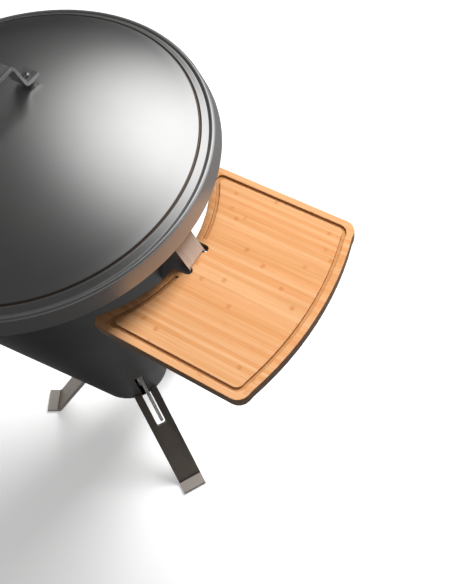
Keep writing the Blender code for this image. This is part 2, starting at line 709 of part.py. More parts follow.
def build_handle(spoke, bar_steel, spacer_steel, screw_steel):
    half = HANDLE_THICKNESS / 2
    place = HANDLE_SPAN / 2 - HANDLE_FOOT / 2
    seat = dome_height(place) + LID_SHEET / 2 + CLEARANCE
    spacer_low = seat + 0.0004 + (dome_height(place - SPACER_RADIUS) - dome_height(place))
    base = spacer_low + SPACER_HEIGHT + CLEARANCE
    shoulder = HANDLE_SPAN / 2 - HANDLE_FOOT
    path = rounded(
        [(-HANDLE_SPAN / 2, base + half), (-shoulder, base + half),
         (-shoulder + HANDLE_LEAN, base + HANDLE_RISE - half), (shoulder - HANDLE_LEAN, base + HANDLE_RISE - half),
         (shoulder, base + half), (HANDLE_SPAN / 2, base + half)],
        HANDLE_BEND / 2,
    )
    handle = sideways(
        "lid_handle", strip(path, HANDLE_THICKNESS), -HANDLE_WIDTH / 2, HANDLE_WIDTH / 2, bar_steel, spoke,
    )
    for number, side in enumerate((-1, 1)):
        centre = (side * place, 0)
        bore = upright(
            f"handle_bore_{number}", circle(HANDLE_SCREW_RADIUS + CLEARANCE, 12, centre),
            base - 0.001, base + HANDLE_THICKNESS + 0.001, None, spoke,
        )
        combine(handle, "DIFFERENCE", bore)
        spacer = upright(
            f"handle_spacer_{number + 1}", circle(SPACER_RADIUS, SMALL_SIDES, centre), spacer_low,
            spacer_low + SPACER_HEIGHT, spacer_steel, spoke, smooth=35,
        )
        combine(spacer, "DIFFERENCE", upright(
            f"spacer_bore_{number}", circle(HANDLE_SCREW_RADIUS + CLEARANCE, 12, centre),
            spacer_low - 0.001, spacer_low + SPACER_HEIGHT + 0.001, None, spoke,
        ))
        head_low = base + HANDLE_THICKNESS + CLEARANCE
        screw = upright(
            f"handle_screw_{number + 1}", circle(HANDLE_SCREW_RADIUS, 12, centre),
            seat - 0.012, head_low + 0.001, screw_steel, spoke, smooth=35,
        )
        head = upright(
            f"screw_head_{number}", circle(HANDLE_SCREW_RADIUS + 0.0022, 16, centre),
            head_low, head_low + 0.0028, None, spoke,
        )
        combine(screw, "UNION", head)


def build_thermometer(axis, lid, steel, dial_paint, needle_paint, glass):
    tilt = math.asin(THERMOMETER_REACH / DOME_RADIUS)
    turn = math.radians(THERMOMETER_ANGLE)
    spoke = empty("thermometer_spoke", rotation=(0, 0, turn), parent=axis)
    seat = empty(
        "thermometer_seat", location=(THERMOMETER_REACH, 0, dome_height(THERMOMETER_REACH)),
        rotation=(0, tilt, 0), parent=spoke,
    )
    lift = LID_SHEET / 2 + CLEARANCE + THERMOMETER_RADIUS**2 / (2 * DOME_RADIUS)
    bore = PROBE_RADIUS + CLEARANCE
    inner = THERMOMETER_RADIUS - CASE_WALL
    floor = lift + CASE_WALL
    lens_top = lift + THERMOMETER_HEIGHT - LENS_RECESS
    lens_low = lens_top - LENS_THICKNESS
    turned(
        "thermometer_case",
        [(bore, lift), (THERMOMETER_RADIUS, lift), (THERMOMETER_RADIUS, lift + THERMOMETER_HEIGHT),
         (inner, lift + THERMOMETER_HEIGHT), (inner, floor), (bore, floor)],
        steel, seat, sides=36,
    )
    dial_low = floor + CLEARANCE
    dial_top = dial_low + DIAL_SHEET
    turned(
        "thermometer_dial", rectangle((bore + 0.0005, dial_low), (inner - CLEARANCE, dial_top)),
        dial_paint, seat, sides=36,
    )
    probe_top = dial_top + 0.0022
    turned(
        "thermometer_probe",
        [(0, -PROBE_LENGTH), (PROBE_RADIUS - 0.001, -PROBE_LENGTH), (PROBE_RADIUS, -PROBE_LENGTH + 0.002),
         (PROBE_RADIUS, dial_top), (NEEDLE_PIN_RADIUS, dial_top), (NEEDLE_PIN_RADIUS, probe_top), (0, probe_top)],
        steel, seat, sides=16,
    )
    needle_low = dial_top + 0.0008
    needle = upright(
        "thermometer_needle",
        [(-0.007, -0.0014), (0.0, -0.0022), (0.022, -0.0004), (0.022, 0.0004), (0.0, 0.0022), (-0.007, 0.0014)],
        needle_low, needle_low + NEEDLE_SHEET, needle_paint, seat,
    )
    combine(needle, "DIFFERENCE", upright(
        "needle_bore", circle(NEEDLE_PIN_RADIUS + CLEARANCE, 12),
        needle_low - 0.001, needle_low + 0.002, None, seat,
    ))
    turned(
        "thermometer_lens",
        rectangle((0, lens_low), (inner - CLEARANCE, lens_top)), glass, seat, sides=36,
    )
    nut_top = -LID_SHEET / 2 - CLEARANCE
    nut = upright("probe_nut", circle(NUT_RADIUS, 6), nut_top - NUT_HEIGHT, nut_top - 0.0002, steel, seat)
    combine(nut, "DIFFERENCE", upright(
        "nut_bore", circle(bore, 16), nut_top - NUT_HEIGHT - 0.001, nut_top + 0.001, None, seat,
    ))
    combine(lid, "DIFFERENCE", upright("probe_bore", circle(bore, 16), -0.02, 0.02, None, seat))


# ---- side board --------------------------------------------------------------------------------
def board_outline(inset, corner_inner, corner_outer):
    """Outline of the board, set in all round by this much: hollow side, straight sides, bowed side."""
    inner_centre = BOARD_INNER_REACH - BOARD_INNER_ARC
    outer_centre = BOARD_REACH - BOARD_OUTER_ARC
    inner_arc = BOARD_INNER_ARC + inset
    outer_arc = BOARD_OUTER_ARC - inset
    half = BOARD_HALF_WIDTH - inset
    steps = 12
    inner_half = math.degrees(math.asin((half - corner_inner) / inner_arc))
    outer_half = math.degrees(math.asin((half - corner_outer) / outer_arc))
    hollow = arc((inner_centre, 0), inner_arc, inner_half, -inner_half, steps)
    bowed = arc((outer_centre, 0), outer_arc, -outer_half, outer_half, steps)
    middle = (BOARD_MIDDLE_REACH, -half)
    near_corner = (hollow[-1][0] - corner_inner * 0.9, -half)
    far_corner = (bowed[0][0] - corner_outer * 0.16, -half)
    near_low = rounded([hollow[-1], near_corner, middle], corner_inner * 0.55)
    far_low = rounded([middle, far_corner, bowed[0]], corner_outer * 0.8)
    low_side = near_low[1:-1] + far_low[1:-1]
    high_side = [(x, -y) for x, y in reversed(low_side)]
    return hollow + low_side + bowed + high_side


def build_board(axis, bamboo):
    top, low = BOARD_TOP, BOARD_TOP - BOARD_THICKNESS
    outline = board_outline(0, BOARD_INNER_CORNER, BOARD_OUTER_CORNER)
    board = upright("side_board", outline, low, top, bamboo, axis)
    for side in (-1, 1):
        slot = [(0.2, NOTCH_WIDTH / 2), *arc((NOTCH_REACH - NOTCH_WIDTH / 2, 0), NOTCH_WIDTH / 2, 90, -90, 6),
                (0.2, -NOTCH_WIDTH / 2)]
        place = empty(f"notch_{side}", location=(0, side * NOTCH_SPREAD, 0), parent=axis)
        cutter = upright(f"notch_cutter_{side}", slot, low - 0.01, top + 0.01, None, place)
        combine(board, "DIFFERENCE", cutter)
    outer = upright(
        "juice_groove", board_outline(GROOVE_INSET, BOARD_INNER_CORNER * 0.8, BOARD_OUTER_CORNER * 0.8),
        top - GROOVE_DEPTH, top + 0.01, None, axis,
    )
    island = upright(
        "groove_island",
        board_outline(GROOVE_INSET + GROOVE_WIDTH, BOARD_INNER_CORNER * 0.6, BOARD_OUTER_CORNER * 0.6),
        top - 0.02, top + 0.02, None, axis,
    )
    bridge = upright(
        "groove_bridge", rectangle((0.2, -GROOVE_GAP), (BOARD_INNER_REACH + 0.04, GROOVE_GAP)),
        top - 0.02, top + 0.02, None, axis,
    )
    combine(outer, "DIFFERENCE", island, bridge)
    combine(board, "DIFFERENCE", outer)


def build_hanger(axis, steel):
    """Bent bracket: hook through the cone's slot, sloping plate, two flanges, shelf under the board."""
    half = HANGER_SHEET / 2
    hook_height = HANGER_HOOK_HEIGHT
    hook_end = hook_height - HANGER_HOOK_DROP
    inward = CONE_SHEET + HANGER_HOOK_GAP + half
    toe_height = BOARD_TOP + HANGER_TOE_LIFT
    path = rounded(
        [(cone_radius(hook_end) - inward, hook_end), (cone_radius(hook_height) - inward, hook_height),
         (HANGER_SHOULDER, hook_height), (HANGER_TOE, toe_height)],
        HANGER_SHEET, 3,
    )
    outer = NOTCH_SPREAD - NOTCH_WIDTH / 2 + HANGER_SHEET + 0.002
    plate = sideways("board_bracket", strip(path, HANGER_SHEET), -outer, outer, steel, axis)
    under = BOARD_TOP - BOARD_THICKNESS - CLEARANCE
    heel_wall = cone_radius(HANGER_HEEL_HEIGHT) + CLEARANCE
    top_wall = cone_radius(hook_height - half) + CLEARANCE
    flange = [
        (heel_wall, HANGER_HEEL_HEIGHT), (heel_wall + 0.020, HANGER_HEEL_HEIGHT),
        (HANGER_SHELF_REACH, under - 0.006), (HANGER_SHELF_REACH, under),
        (HANGER_TOE + 0.002, under), (HANGER_TOE + 0.002, toe_height),
        (HANGER_SHOULDER - half, hook_height - half), (top_wall, hook_height - half),
    ]
    for number, side in enumerate((-1, 1)):
        near, far = sorted((side * (outer - HANGER_SHEET), side * outer))
        combine(plate, "UNION", sideways(f"flange_{number}", flange, near, far, None, axis))
    web = upright(
        "shelf_web",
        rectangle((HANGER_SHOULDER + 0.005, -outer + half), (HANGER_SHELF_REACH - 0.015, outer - half)),
        under - HANGER_SHEET, under, None, axis,
    )
    combine(plate, "UNION", web)


def build():
    clear_scene()
    shift = (SKIRT_RADIUS + LID_SHEET / 2 - BOARD_REACH) / 2    # bounding box centred on the origin
    axis = empty("cone_axis", location=(shift, 0, 0))
    satin = material("satin stainless", (0.60, 0.61, 0.62), 0.32, 1.0)
    coated = material("dark coating", (0.035, 0.036, 0.040), 0.55, 0.0)
    enamel = material("black enamel", (0.012, 0.012, 0.012), 0.35, 0.0)
    bar_steel = material("brushed bar", (0.24, 0.22, 0.20), 0.40, 1.0)
    bright = material("bright stainless", (0.70, 0.70, 0.69), 0.25, 1.0)
    bolt_steel = material("bolt steel", (0.50, 0.50, 0.50), 0.35, 1.0)
    bamboo = material("bamboo", (0.78, 0.46, 0.20), 0.50, 0.0)
    white = material("dial white", (0.85, 0.85, 0.82), 0.50, 0.0)
    red = material("needle red", (0.55, 0.03, 0.02), 0.40, 0.0)
    glass = material("lens glass", (0.95, 0.97, 0.98), 0.02, 0.0)
    rod = material("grate rod", (0.45, 0.45, 0.46), 0.30, 1.0)

    build_cones(axis, coated, enamel, satin)
    build_stand(axis, bar_steel, bolt_steel, bolt_steel)
    build_lever(axis, bright, bright, bolt_steel)
    build_stem_and_bowl(axis, bright, rod, enamel)
    build_grate(axis, rod)
    lid, handle_spoke = build_lid(axis, satin, bright)
    build_handle(handle_spoke, bright, bolt_steel, bolt_steel)
    build_thermometer(axis, lid, bright, white, red, glass)
    build_board(axis, bamboo)
    build_hanger(axis, bright)


build()
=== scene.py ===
"""Conical charcoal grill with a lift-off lid and a bamboo side board: surfaces, soft edges and fine
pieces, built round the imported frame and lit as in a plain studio."""

import math

import bmesh
import bpy
from mathutils import Matrix, Vector


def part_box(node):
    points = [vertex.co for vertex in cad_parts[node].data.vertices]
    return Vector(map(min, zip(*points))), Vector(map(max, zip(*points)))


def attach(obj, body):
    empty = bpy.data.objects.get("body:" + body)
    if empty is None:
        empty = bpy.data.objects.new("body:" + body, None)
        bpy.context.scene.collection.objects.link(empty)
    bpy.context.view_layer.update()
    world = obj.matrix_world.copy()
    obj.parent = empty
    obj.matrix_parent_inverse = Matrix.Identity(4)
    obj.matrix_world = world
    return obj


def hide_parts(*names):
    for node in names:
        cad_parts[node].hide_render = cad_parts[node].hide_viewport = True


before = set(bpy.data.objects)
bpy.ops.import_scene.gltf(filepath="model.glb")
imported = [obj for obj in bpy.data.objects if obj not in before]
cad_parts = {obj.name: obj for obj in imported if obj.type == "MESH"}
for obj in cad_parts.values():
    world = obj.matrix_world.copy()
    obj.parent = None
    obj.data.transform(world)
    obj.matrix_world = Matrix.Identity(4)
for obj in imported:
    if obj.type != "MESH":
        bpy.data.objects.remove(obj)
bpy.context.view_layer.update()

cone_low, cone_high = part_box("outer_cone")
cone_x = (cone_low.x + cone_high.x) / 2      # the cone's axis, upright at y = 0
rim_radius = (cone_high.y - cone_low.y) / 2
rim_height = cone_high.z


# ---- Legs ------------------------------------------------------------------------------------
# Three lengths of 51 by 8 mm stainless flat bar, sawn or laser cut and bent twice. The rolled faces
# are brushed along the bar and darker; the cut edges are bare, bright and finely striped across.
# The level faces carry painted light: a lighter, less metallic tone where light from above falls.

front_angle = math.radians(-30)
leg_angles = [front_angle + math.tau / 3 * index for index in range(3)]
leg_edge_round = 0.0016


def add(tree, kind, sockets=None, **settings):
    """New shader or geometry node; a socket value that is itself a socket is linked."""
    made = tree.nodes.new(kind)
    for key, value in settings.items():
        setattr(made, key, value)
    for socket, value in (sockets or {}).items():
        if isinstance(value, bpy.types.NodeSocket):
            tree.links.new(value, made.inputs[socket])
        else:
            made.inputs[socket].default_value = value
    return made


def finish_named(name, roughness, metallic=0.0, colour=(0.5, 0.5, 0.5), **more):
    """Material with its Principled shader, and the tree to build on."""
    made = bpy.data.materials.new(name)
    made.use_nodes = True
    shader = made.node_tree.nodes["Principled BSDF"]
    shader.inputs["Base Color"].default_value = (*colour, 1)
    shader.inputs["Roughness"].default_value = roughness
    shader.inputs["Metallic"].default_value = metallic
    for socket, value in more.items():
        shader.inputs[socket.replace("_", " ").title().replace("Ior", "IOR")].default_value = value
    return made, made.node_tree, shader


def stretched(tree, scale, turn=0.0, centre=(0, 0, 0)):
    """Object coordinates, moved to a centre, turned about Z and stretched."""
    place = add(tree, "ShaderNodeTexCoord").outputs["Object"]
    moved = add(tree, "ShaderNodeVectorMath", {0: place, 1: centre}, operation="SUBTRACT").outputs[0]
    turned = add(tree, "ShaderNodeVectorRotate", {"Vector": moved, "Angle": -turn}, rotation_type="Z_AXIS")
    return add(tree, "ShaderNodeVectorMath", {0: turned.outputs[0], 1: scale}, operation="MULTIPLY").outputs[0]


def noise(tree, vector, scale=1.0, detail=3.0, roughness=0.55):
    made = add(
        tree, "ShaderNodeTexNoise",
        {"Vector": vector, "Scale": scale, "Detail": detail, "Roughness": roughness},
    )
    return made.outputs["Fac"]


def between(tree, value, low, high, out_low=0.0, out_high=1.0, smooth=False):
    made = add(
        tree, "ShaderNodeMapRange",
        {"Value": value, "From Min": low, "From Max": high, "To Min": out_low, "To Max": out_high},
        interpolation_type="SMOOTHSTEP" if smooth else "LINEAR",
    )
    return made.outputs["Result"]


def maths(tree, operation, first, second=0.0, third=0.0):
    made = add(tree, "ShaderNodeMath", {0: first, 1: second, 2: third}, operation=operation)
    return made.outputs[0]


def mixed(tree, factor, first, second, blend="MIX"):
    """Colour mix; a plain tuple stands for a colour."""
    made = tree.nodes.new("ShaderNodeMix")
    made.data_type = "RGBA"
    made.blend_type = blend
    for socket, value in ((0, factor), (6, first), (7, second)):
        if isinstance(value, bpy.types.NodeSocket):
            tree.links.new(value, made.inputs[socket])
        elif socket == 0:
            made.inputs[0].default_value = value
        else:
            made.inputs[socket].default_value = (*value, 1)
    return made.outputs[2]


def bumped(tree, shader, height, distance, strength=1.0):
    made = add(tree, "ShaderNodeBump", {"Height": height, "Distance": distance, "Strength": strength})
    tree.links.new(made.outputs["Normal"], shader.inputs["Normal"])


def facing(tree, direction):
    """How far the surface faces this way or the opposite way, in the piece's own frame."""
    normal = add(tree, "ShaderNodeTexCoord").outputs["Normal"]
    dot = add(tree, "ShaderNodeVectorMath", {0: normal, 1: direction}, operation="DOT_PRODUCT").outputs["Value"]
    return maths(tree, "ABSOLUTE", dot)


def bar_steel(name, turn, face, edge, stripe=520, grain=(9, 900, 900)):
    """Flat bar whose length runs along the direction turn: brushed faces, striped cut edges, and level faces painted
    lighter and less metallic as painted light from above.
    """
    made, tree, shader = finish_named(name, 0.36, 1.0)
    centre = (cone_x, 0, 0)
    brushed = noise(tree, stretched(tree, grain, turn, centre), 1.0, 4.0)
    blotch = noise(tree, stretched(tree, (14, 14, 14), turn, centre), 1.0, 3.0)
    face_tone = mixed(tree, between(tree, brushed, 0.3, 0.7), tuple(0.80 * c for c in face), tuple(1.22 * c for c in face))
    face_tone = mixed(tree, between(tree, blotch, 0.35, 0.75, 0.0, 0.35), face_tone, tuple(0.72 * c for c in face))
    stripes = noise(tree, stretched(tree, (stripe, 30, stripe), turn, centre), 1.0, 2.0)
    edge_tone = mixed(tree, between(tree, stripes, 0.35, 0.65), tuple(0.72 * c for c in edge), edge)
    cut = between(tree, facing(tree, (-math.sin(turn), math.cos(turn), 0)), 0.45, 0.62)
    # Painted light: faces that lie level get a lighter, less metallic tone, as if lit from above.
    level = between(tree, facing(tree, (0, 0, 1)), 0.93, 0.985)
    face_tone = mixed(tree, level, face_tone, (0.56, 0.505, 0.455))
    tree.links.new(mixed(tree, cut, face_tone, edge_tone), shader.inputs["Base Color"])
    cut_edge_and_painted_light_mask = maths(tree, "MAXIMUM", cut, maths(tree, "MULTIPLY", level, 0.9))
    tree.links.new(between(tree, cut, 0.0, 1.0, 0.34, 0.55), shader.inputs["Roughness"])
    tree.links.new(between(tree, cut_edge_and_painted_light_mask, 0.0, 1.0, 1.0, 0.35), shader.inputs["Metallic"])
    bumped(tree, shader, mixed(tree, cut, brushed, stripes), 0.00012, 0.6)
    return made


def softened(name, node, body, edge, finish, slot, smooth=32, segments=2):
    """Copy of a CAD node, merged and with its sharp edges rounded, that stands for the node."""
    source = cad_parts[node]
    shape = bmesh.new()
    shape.from_mesh(source.data)
    bmesh.ops.remove_doubles(shape, verts=shape.verts, dist=1e-5)
    bmesh.ops.dissolve_limit(shape, angle_limit=math.radians(0.6), verts=shape.verts, edges=shape.edges)
    mesh = bpy.data.meshes.new(name)
    shape.to_mesh(mesh)
    shape.free()
    made = bpy.data.objects.new(name, mesh)
    bpy.context.scene.collection.objects.link(made)
    if edge:
        bevel = made.modifiers.new("edges", "BEVEL")
        bevel.width = edge
        bevel.segments = segments
        bevel.limit_method = "ANGLE"
        bevel.angle_limit = math.radians(40)
        bevel.harden_normals = True
    mesh.shade_smooth()
    mesh.set_sharp_from_angle(angle=math.radians(smooth))
    return placed(made, body, finish, slot, node)


def placed(made, body, finish, slot, *nodes):
    """Gives a finished piece its material and body, and hides the CAD nodes it stands for. The slot is not used."""
    made.data.materials.clear()
    made.data.materials.append(finish)
    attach(made, body)
    if nodes:
        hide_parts(*nodes)
    return made


leg_face = (0.47, 0.405, 0.350)
leg_cut = (0.74, 0.66, 0.61)
for angle, node in zip(leg_angles, ("leg_front", "leg_rear_right", "leg_rear_left")):
    steel = bar_steel(f"brushed bar of {node}", angle, leg_face, leg_cut)
    softened(f"{node}_bar", node, "stand", leg_edge_round, steel, "leg_steel")


# ---- Hub and leg bolts -----------------------------------------------------------------------
# A turned hub plate inside the cone's floor clamps the legs' level ends. Six hexagon bolts with
# chamfered heads hold them to it, two to a leg.

bolt_nodes = [f"leg_bolt_{number}" for number in range(1, 7)]
bolt_low, bolt_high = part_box("leg_bolt_1")
bolt_head_height = 0.005
bolt_head_radius = 0.0065
bolt_shank_radius = 0.0037


def plain_steel(name, colour, roughness, grain=700, depth=0.00004):
    made, tree, shader = finish_named(name, roughness, 1.0, colour)
    fine = noise(tree, stretched(tree, (grain, grain, grain)), 1.0, 3.0)
    cloud = noise(tree, stretched(tree, (35, 35, 35)), 1.0, 4.0)
    tone = mixed(tree, between(tree, cloud, 0.3, 0.7), tuple(0.86 * c for c in colour), tuple(1.06 * c for c in colour))
    tree.links.new(tone, shader.inputs["Base Color"])
    tree.links.new(
        between(tree, cloud, 0.2, 0.8, roughness - 0.05, roughness + 0.07),
        shader.inputs["Roughness"],
    )
    bumped(tree, shader, fine, depth, 0.5)
    return made


def repeated(name, copied, places, finish):
    """Geometry Nodes: one copy of a mesh at each vertex of a mesh of places, as one plain mesh."""
    tree = bpy.data.node_groups.new(name, "GeometryNodeTree")
    tree.interface.new_socket("Places", in_out="INPUT", socket_type="NodeSocketGeometry")
    scale_input = tree.interface.new_socket("Scale", in_out="INPUT", socket_type="NodeSocketFloat")
    tree.interface.new_socket("Geometry", in_out="OUTPUT", socket_type="NodeSocketGeometry")
    start, end = add(tree, "NodeGroupInput"), add(tree, "NodeGroupOutput")
    piece = add(tree, "GeometryNodeObjectInfo", {"Object": copied})
    turn = add(tree, "GeometryNodeInputNamedAttribute", {"Name": "turn"}, data_type="FLOAT_VECTOR")
    put = add(tree, "GeometryNodeInstanceOnPoints", {
        "Points": start.outputs["Places"], "Instance": piece.outputs["Geometry"],
        "Rotation": turn.outputs["Attribute"], "Scale": start.outputs["Scale"],
    })
    real = add(tree, "GeometryNodeRealizeInstances", {"Geometry": put.outputs["Instances"]})
    dressed = add(tree, "GeometryNodeSetMaterial", {"Geometry": real.outputs["Geometry"], "Material": finish})
    tree.links.new(dressed.outputs["Geometry"], end.inputs["Geometry"])
    points = bpy.data.meshes.new(name + " places")
    points.from_pydata([place for place, _ in places], [], [])
    turns = points.attributes.new("turn", "FLOAT_VECTOR", "POINT")
    for index, (_, angles) in enumerate(places):
        turns.data[index].vector = angles
    holder = bpy.data.objects.new(name + " holder", points)
    bpy.context.scene.collection.objects.link(holder)
    modifier = holder.modifiers.new("copies", "NODES")
    modifier.node_group = tree
    modifier[scale_input.identifier] = 1.0
    graph = bpy.context.evaluated_depsgraph_get()
    mesh = bpy.data.meshes.new_from_object(holder.evaluated_get(graph))
    made = bpy.data.objects.new(name, mesh)
    bpy.context.scene.collection.objects.link(made)
    bpy.data.objects.remove(holder)
    bpy.data.objects.remove(copied)
    return made


def lathe(name, outline, sides, smooth=32, turn=0.0):
    """Closed outline of (radius, height) turned round the Z axis."""
    shape = bmesh.new()
    rings = []
    for radius, height in outline:
        if radius < 1e-6:
            rings.append([shape.verts.new((0, 0, height))] * sides)
            continue
        angles = [turn + math.tau * step / sides for step in range(sides)]
        rings.append([shape.verts.new((radius * math.cos(a), radius * math.sin(a), height)) for a in angles])
    for low, high in zip(rings, rings[1:] + rings[:1]):
        for step in range(sides):
            after = (step + 1) % sides
            corners = list(dict.fromkeys((low[step], low[after], high[after], high[step])))
            if len(corners) > 2:
                shape.faces.new(corners)
    bmesh.ops.recalc_face_normals(shape, faces=shape.faces)
    return from_shape(name, shape, smooth)


def from_shape(name, shape, smooth=32):
    mesh = bpy.data.meshes.new(name)
    shape.to_mesh(mesh)
    shape.free()
    mesh.shade_smooth()
    mesh.set_sharp_from_angle(angle=math.radians(smooth))
    made = bpy.data.objects.new(name, mesh)
    bpy.context.scene.collection.objects.link(made)
    return made


def carved(target, *cutters):
    """Target with the cutters taken away, as a plain mesh."""
    for cutter in cutters:
        cut = target.modifiers.new(cutter.name, "BOOLEAN")
        cut.operation = "DIFFERENCE"
        cut.solver = "EXACT"
        cut.object = cutter
    bpy.context.view_layer.update()
    mesh = bpy.data.meshes.new_from_object(target.evaluated_get(bpy.context.evaluated_depsgraph_get()))
    target.modifiers.clear()
    target.data = mesh
    for cutter in cutters:
        bpy.data.objects.remove(cutter)
    return target


def hex_prism(name, radius, low, high, turn=0.0):
    return lathe(name, [(0, low), (radius, low), (radius, high), (0, high)], 6, 20, turn)


bolt_length = bolt_high.z - bolt_low.z
chamfer = 0.0008
bolt = lathe("hex_bolt", [
    (0, -bolt_length), (bolt_shank_radius, -bolt_length), (bolt_shank_radius, -bolt_head_height),
    (bolt_head_radius * 1.02, -bolt_head_height), (bolt_head_radius * 1.02, -chamfer),
    (bolt_head_radius * 0.86, 0), (0, 0),
], 36)
outside = lathe("hex_outside", [
    (bolt_head_radius, -bolt_head_height - 0.0001), (bolt_head_radius * 1.5, -bolt_head_height - 0.0001),
    (bolt_head_radius * 1.5, 0.001), (bolt_head_radius, 0.001),
], 6, 20)
bolt = carved(bolt, outside)
bolt_places = []
for angle in leg_angles:
    for side in (-1, 1):
        reach, spread = 0.030, 0.016 * side
        x = cone_x + reach * math.cos(angle) - spread * math.sin(angle)
        y = reach * math.sin(angle) + spread * math.cos(angle)
        bolt_places.append(((x, y, bolt_high.z), (0, 0, angle)))
zinc = plain_steel("bolt steel", (0.50, 0.50, 0.50), 0.34)
placed(repeated("leg_bolts", bolt, bolt_places, zinc), "stand", zinc, "fastener", *bolt_nodes)
softened("turned_hub", "hub_plate", "stand", 0.0006, plain_steel("hub steel", (0.42, 0.42, 0.42), 0.42), "hub_steel")


# ---- Outer cone and liner --------------------------------------------------------------------
# The outer cone is rolled and welded from 1.5 mm steel sheet with a pressed floor, then coated in a
# satin anthracite powder. The liner that hangs inside is thinner sheet in black enamel.

cone_sides = 192
cone_sheet = 0.0015
floor_height = cone_low.z
floor_corner = 0.014


def rounded(path, radius, steps=5):
    """Open path with each inner corner turned into an arc."""
    result = [path[0]]
    for before, corner, after in zip(path, path[1:], path[2:]):
        corner = Vector(corner)
        back, ahead = (Vector(before) - corner).normalized(), (Vector(after) - corner).normalized()
        half = back.angle(ahead) / 2
        room = min((Vector(before) - corner).length, (Vector(after) - corner).length) * 0.48
        setback = min(radius / math.tan(half), room)
        first, last = corner + back * setback, corner + ahead * setback
        for step in range(steps + 1):
            t = step / steps
            result.append(tuple(first.lerp(corner, t).lerp(corner.lerp(last, t), t)))
    result.append(path[-1])
    return result


def walled(path, thickness):
    """Closed outline of a sheet whose middle follows the path."""
    points = [Vector(p) for p in path]
    left, right = [], []
    for index, point in enumerate(points):
        ahead = points[min(index + 1, len(points) - 1)] - point
        back = point - points[max(index - 1, 0)]
        ahead = ahead.normalized() if ahead.length else back.normalized()
        back = back.normalized() if back.length else ahead
        along = (ahead + back).normalized()
        side = Vector((-along.y, along.x))
        reach = thickness / 2 / max(side.dot(Vector((-ahead.y, ahead.x))), 0.3)
        left.append(tuple(point + side * reach))
        right.append(tuple(point - side * reach))
    return left + right[::-1]


def moved(made, x=0.0, y=0.0, z=0.0, turn=0.0):
    made.data.transform(Matrix.Translation((x, y, z)) @ Matrix.Rotation(turn, 4, "Z"))
    return made


def block(name, low, high):
    shape = bmesh.new()
    bmesh.ops.create_cube(shape, size=1)
    size, middle = Vector(high) - Vector(low), (Vector(high) + Vector(low)) / 2
    bmesh.ops.scale(shape, vec=size, verts=shape.verts)
    bmesh.ops.translate(shape, vec=middle, verts=shape.verts)
    return from_shape(name, shape)


half_sheet = cone_sheet / 2
floor_radius = 0.075
wall = [(floor_radius + (rim_radius - floor_radius) * t, floor_height + (rim_height - floor_height) * t)
        for t in [step / 10 for step in range(1, 11)]]
wall = [(radius - half_sheet * 1.03, height) for radius, height in wall]
cone_path = rounded([(0, floor_height + half_sheet), (floor_radius - 0.0005, floor_height + half_sheet), wall[0]],
                    floor_corner, 8) + wall[1:]
cone = lathe("coated_cone", walled(cone_path, cone_sheet), cone_sides)
leg_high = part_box("leg_front")[1]
notch_low, notch_high = leg_high.z - 0.0100, leg_high.z + 0.0005
cutters = [moved(block(f"notch {index}", (0.056, -0.026, notch_low), (0.2, 0.026, notch_high)), turn=angle)
           for index, angle in enumerate(leg_angles)]
slot_half, slot_top, slot_low = 0.008, 0.345, leg_high.z - 0.015
slot_cutter = block("lever slot", (0.05, -slot_half, slot_low), (0.2, slot_half, slot_top))
cutters.append(moved(slot_cutter, turn=front_angle))
hook_height, hook_half = 0.851, 0.0195
cutters.append(block("hook slot", (0.2, -hook_half, hook_height - 0.0025), (0.3, hook_half, hook_height + 0.0025)))
cone = moved(carved(cone, *cutters), cone_x)
cone.data.set_sharp_from_angle(angle=math.radians(35))

powder, tree, shader = finish_named("anthracite powder coat", 0.46, 0.0, specular_ior_level=0.30)
grainy = noise(tree, stretched(tree, (900, 900, 900)), 1.0, 2.0)
cloud = noise(tree, stretched(tree, (5, 5, 5)), 1.0, 5.0)
tone = mixed(tree, between(tree, cloud, 0.3, 0.7), (0.019, 0.0188, 0.0195), (0.026, 0.0256, 0.0265))
tree.links.new(
    mixed(tree, between(tree, grainy, 0.55, 0.75, 0, 0.4), tone, (0.042, 0.041, 0.042)),
    shader.inputs["Base Color"],
)
tree.links.new(between(tree, cloud, 0.25, 0.75, 0.40, 0.52), shader.inputs["Roughness"])
bumped(tree, shader, grainy, 0.00006, 0.45)
placed(cone, "stand", powder, "coating", "outer_cone")

enamel, tree, shader = finish_named("black enamel", 0.28, 0.0, (0.012, 0.012, 0.013), coat_weight=0.4)
speck = noise(tree, stretched(tree, (260, 260, 260)), 1.0, 2.0)
ash = noise(tree, stretched(tree, (22, 22, 9)), 1.0, 6.0)
dusty = between(tree, ash, 0.52, 0.78, 0.0, 0.35)
tree.links.new(
    mixed(tree, dusty, (0.012, 0.012, 0.013), (0.060, 0.055, 0.050)),
    shader.inputs["Base Color"],
)
tree.links.new(between(tree, ash, 0.4, 0.8, 0.24, 0.6), shader.inputs["Roughness"])
bumped(tree, shader, speck, 0.00008, 0.4)


def outline_of(node):
    """The (radius, height) outline of a CAD node turned about the cone's axis."""
    shape = bmesh.new()
    shape.from_mesh(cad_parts[node].data)
    bmesh.ops.remove_doubles(shape, verts=shape.verts, dist=1e-5)
    first = [v for v in shape.verts if abs(v.co.y) < 1e-5 and v.co.x > cone_x - 1e-5]
    chosen, ring = set(first), [min(first, key=lambda v: v.co.z)]
    while True:
        near = [e.other_vert(ring[-1]) for e in ring[-1].link_edges]
        near = [v for v in near if v in chosen and v not in ring]
        if not near:
            break
        ring.append(near[0])
    outline = [(v.co.x - cone_x, v.co.z) for v in ring]
    shape.free()
    return outline


def returned(name, node, body, finish, slot, sides=160, smooth=32):
    """A CAD node that is a plain turning, turned again with more sides."""
    made = moved(lathe(name, outline_of(node), sides, smooth), cone_x)
    return placed(made, body, finish, slot, node)


returned("enamel_liner", "inner_cone", "stand", enamel, "liner_enamel")
returned("enamel_ash_pan", "ash_pan", "stand", enamel, "liner_enamel", 96)


# ---- Rim ring --------------------------------------------------------------------------------
# A flat stainless ring closes the gap between the cones and carries the lid. It is spot welded to
# the liner's flange from above, which leaves a row of small round dimples.

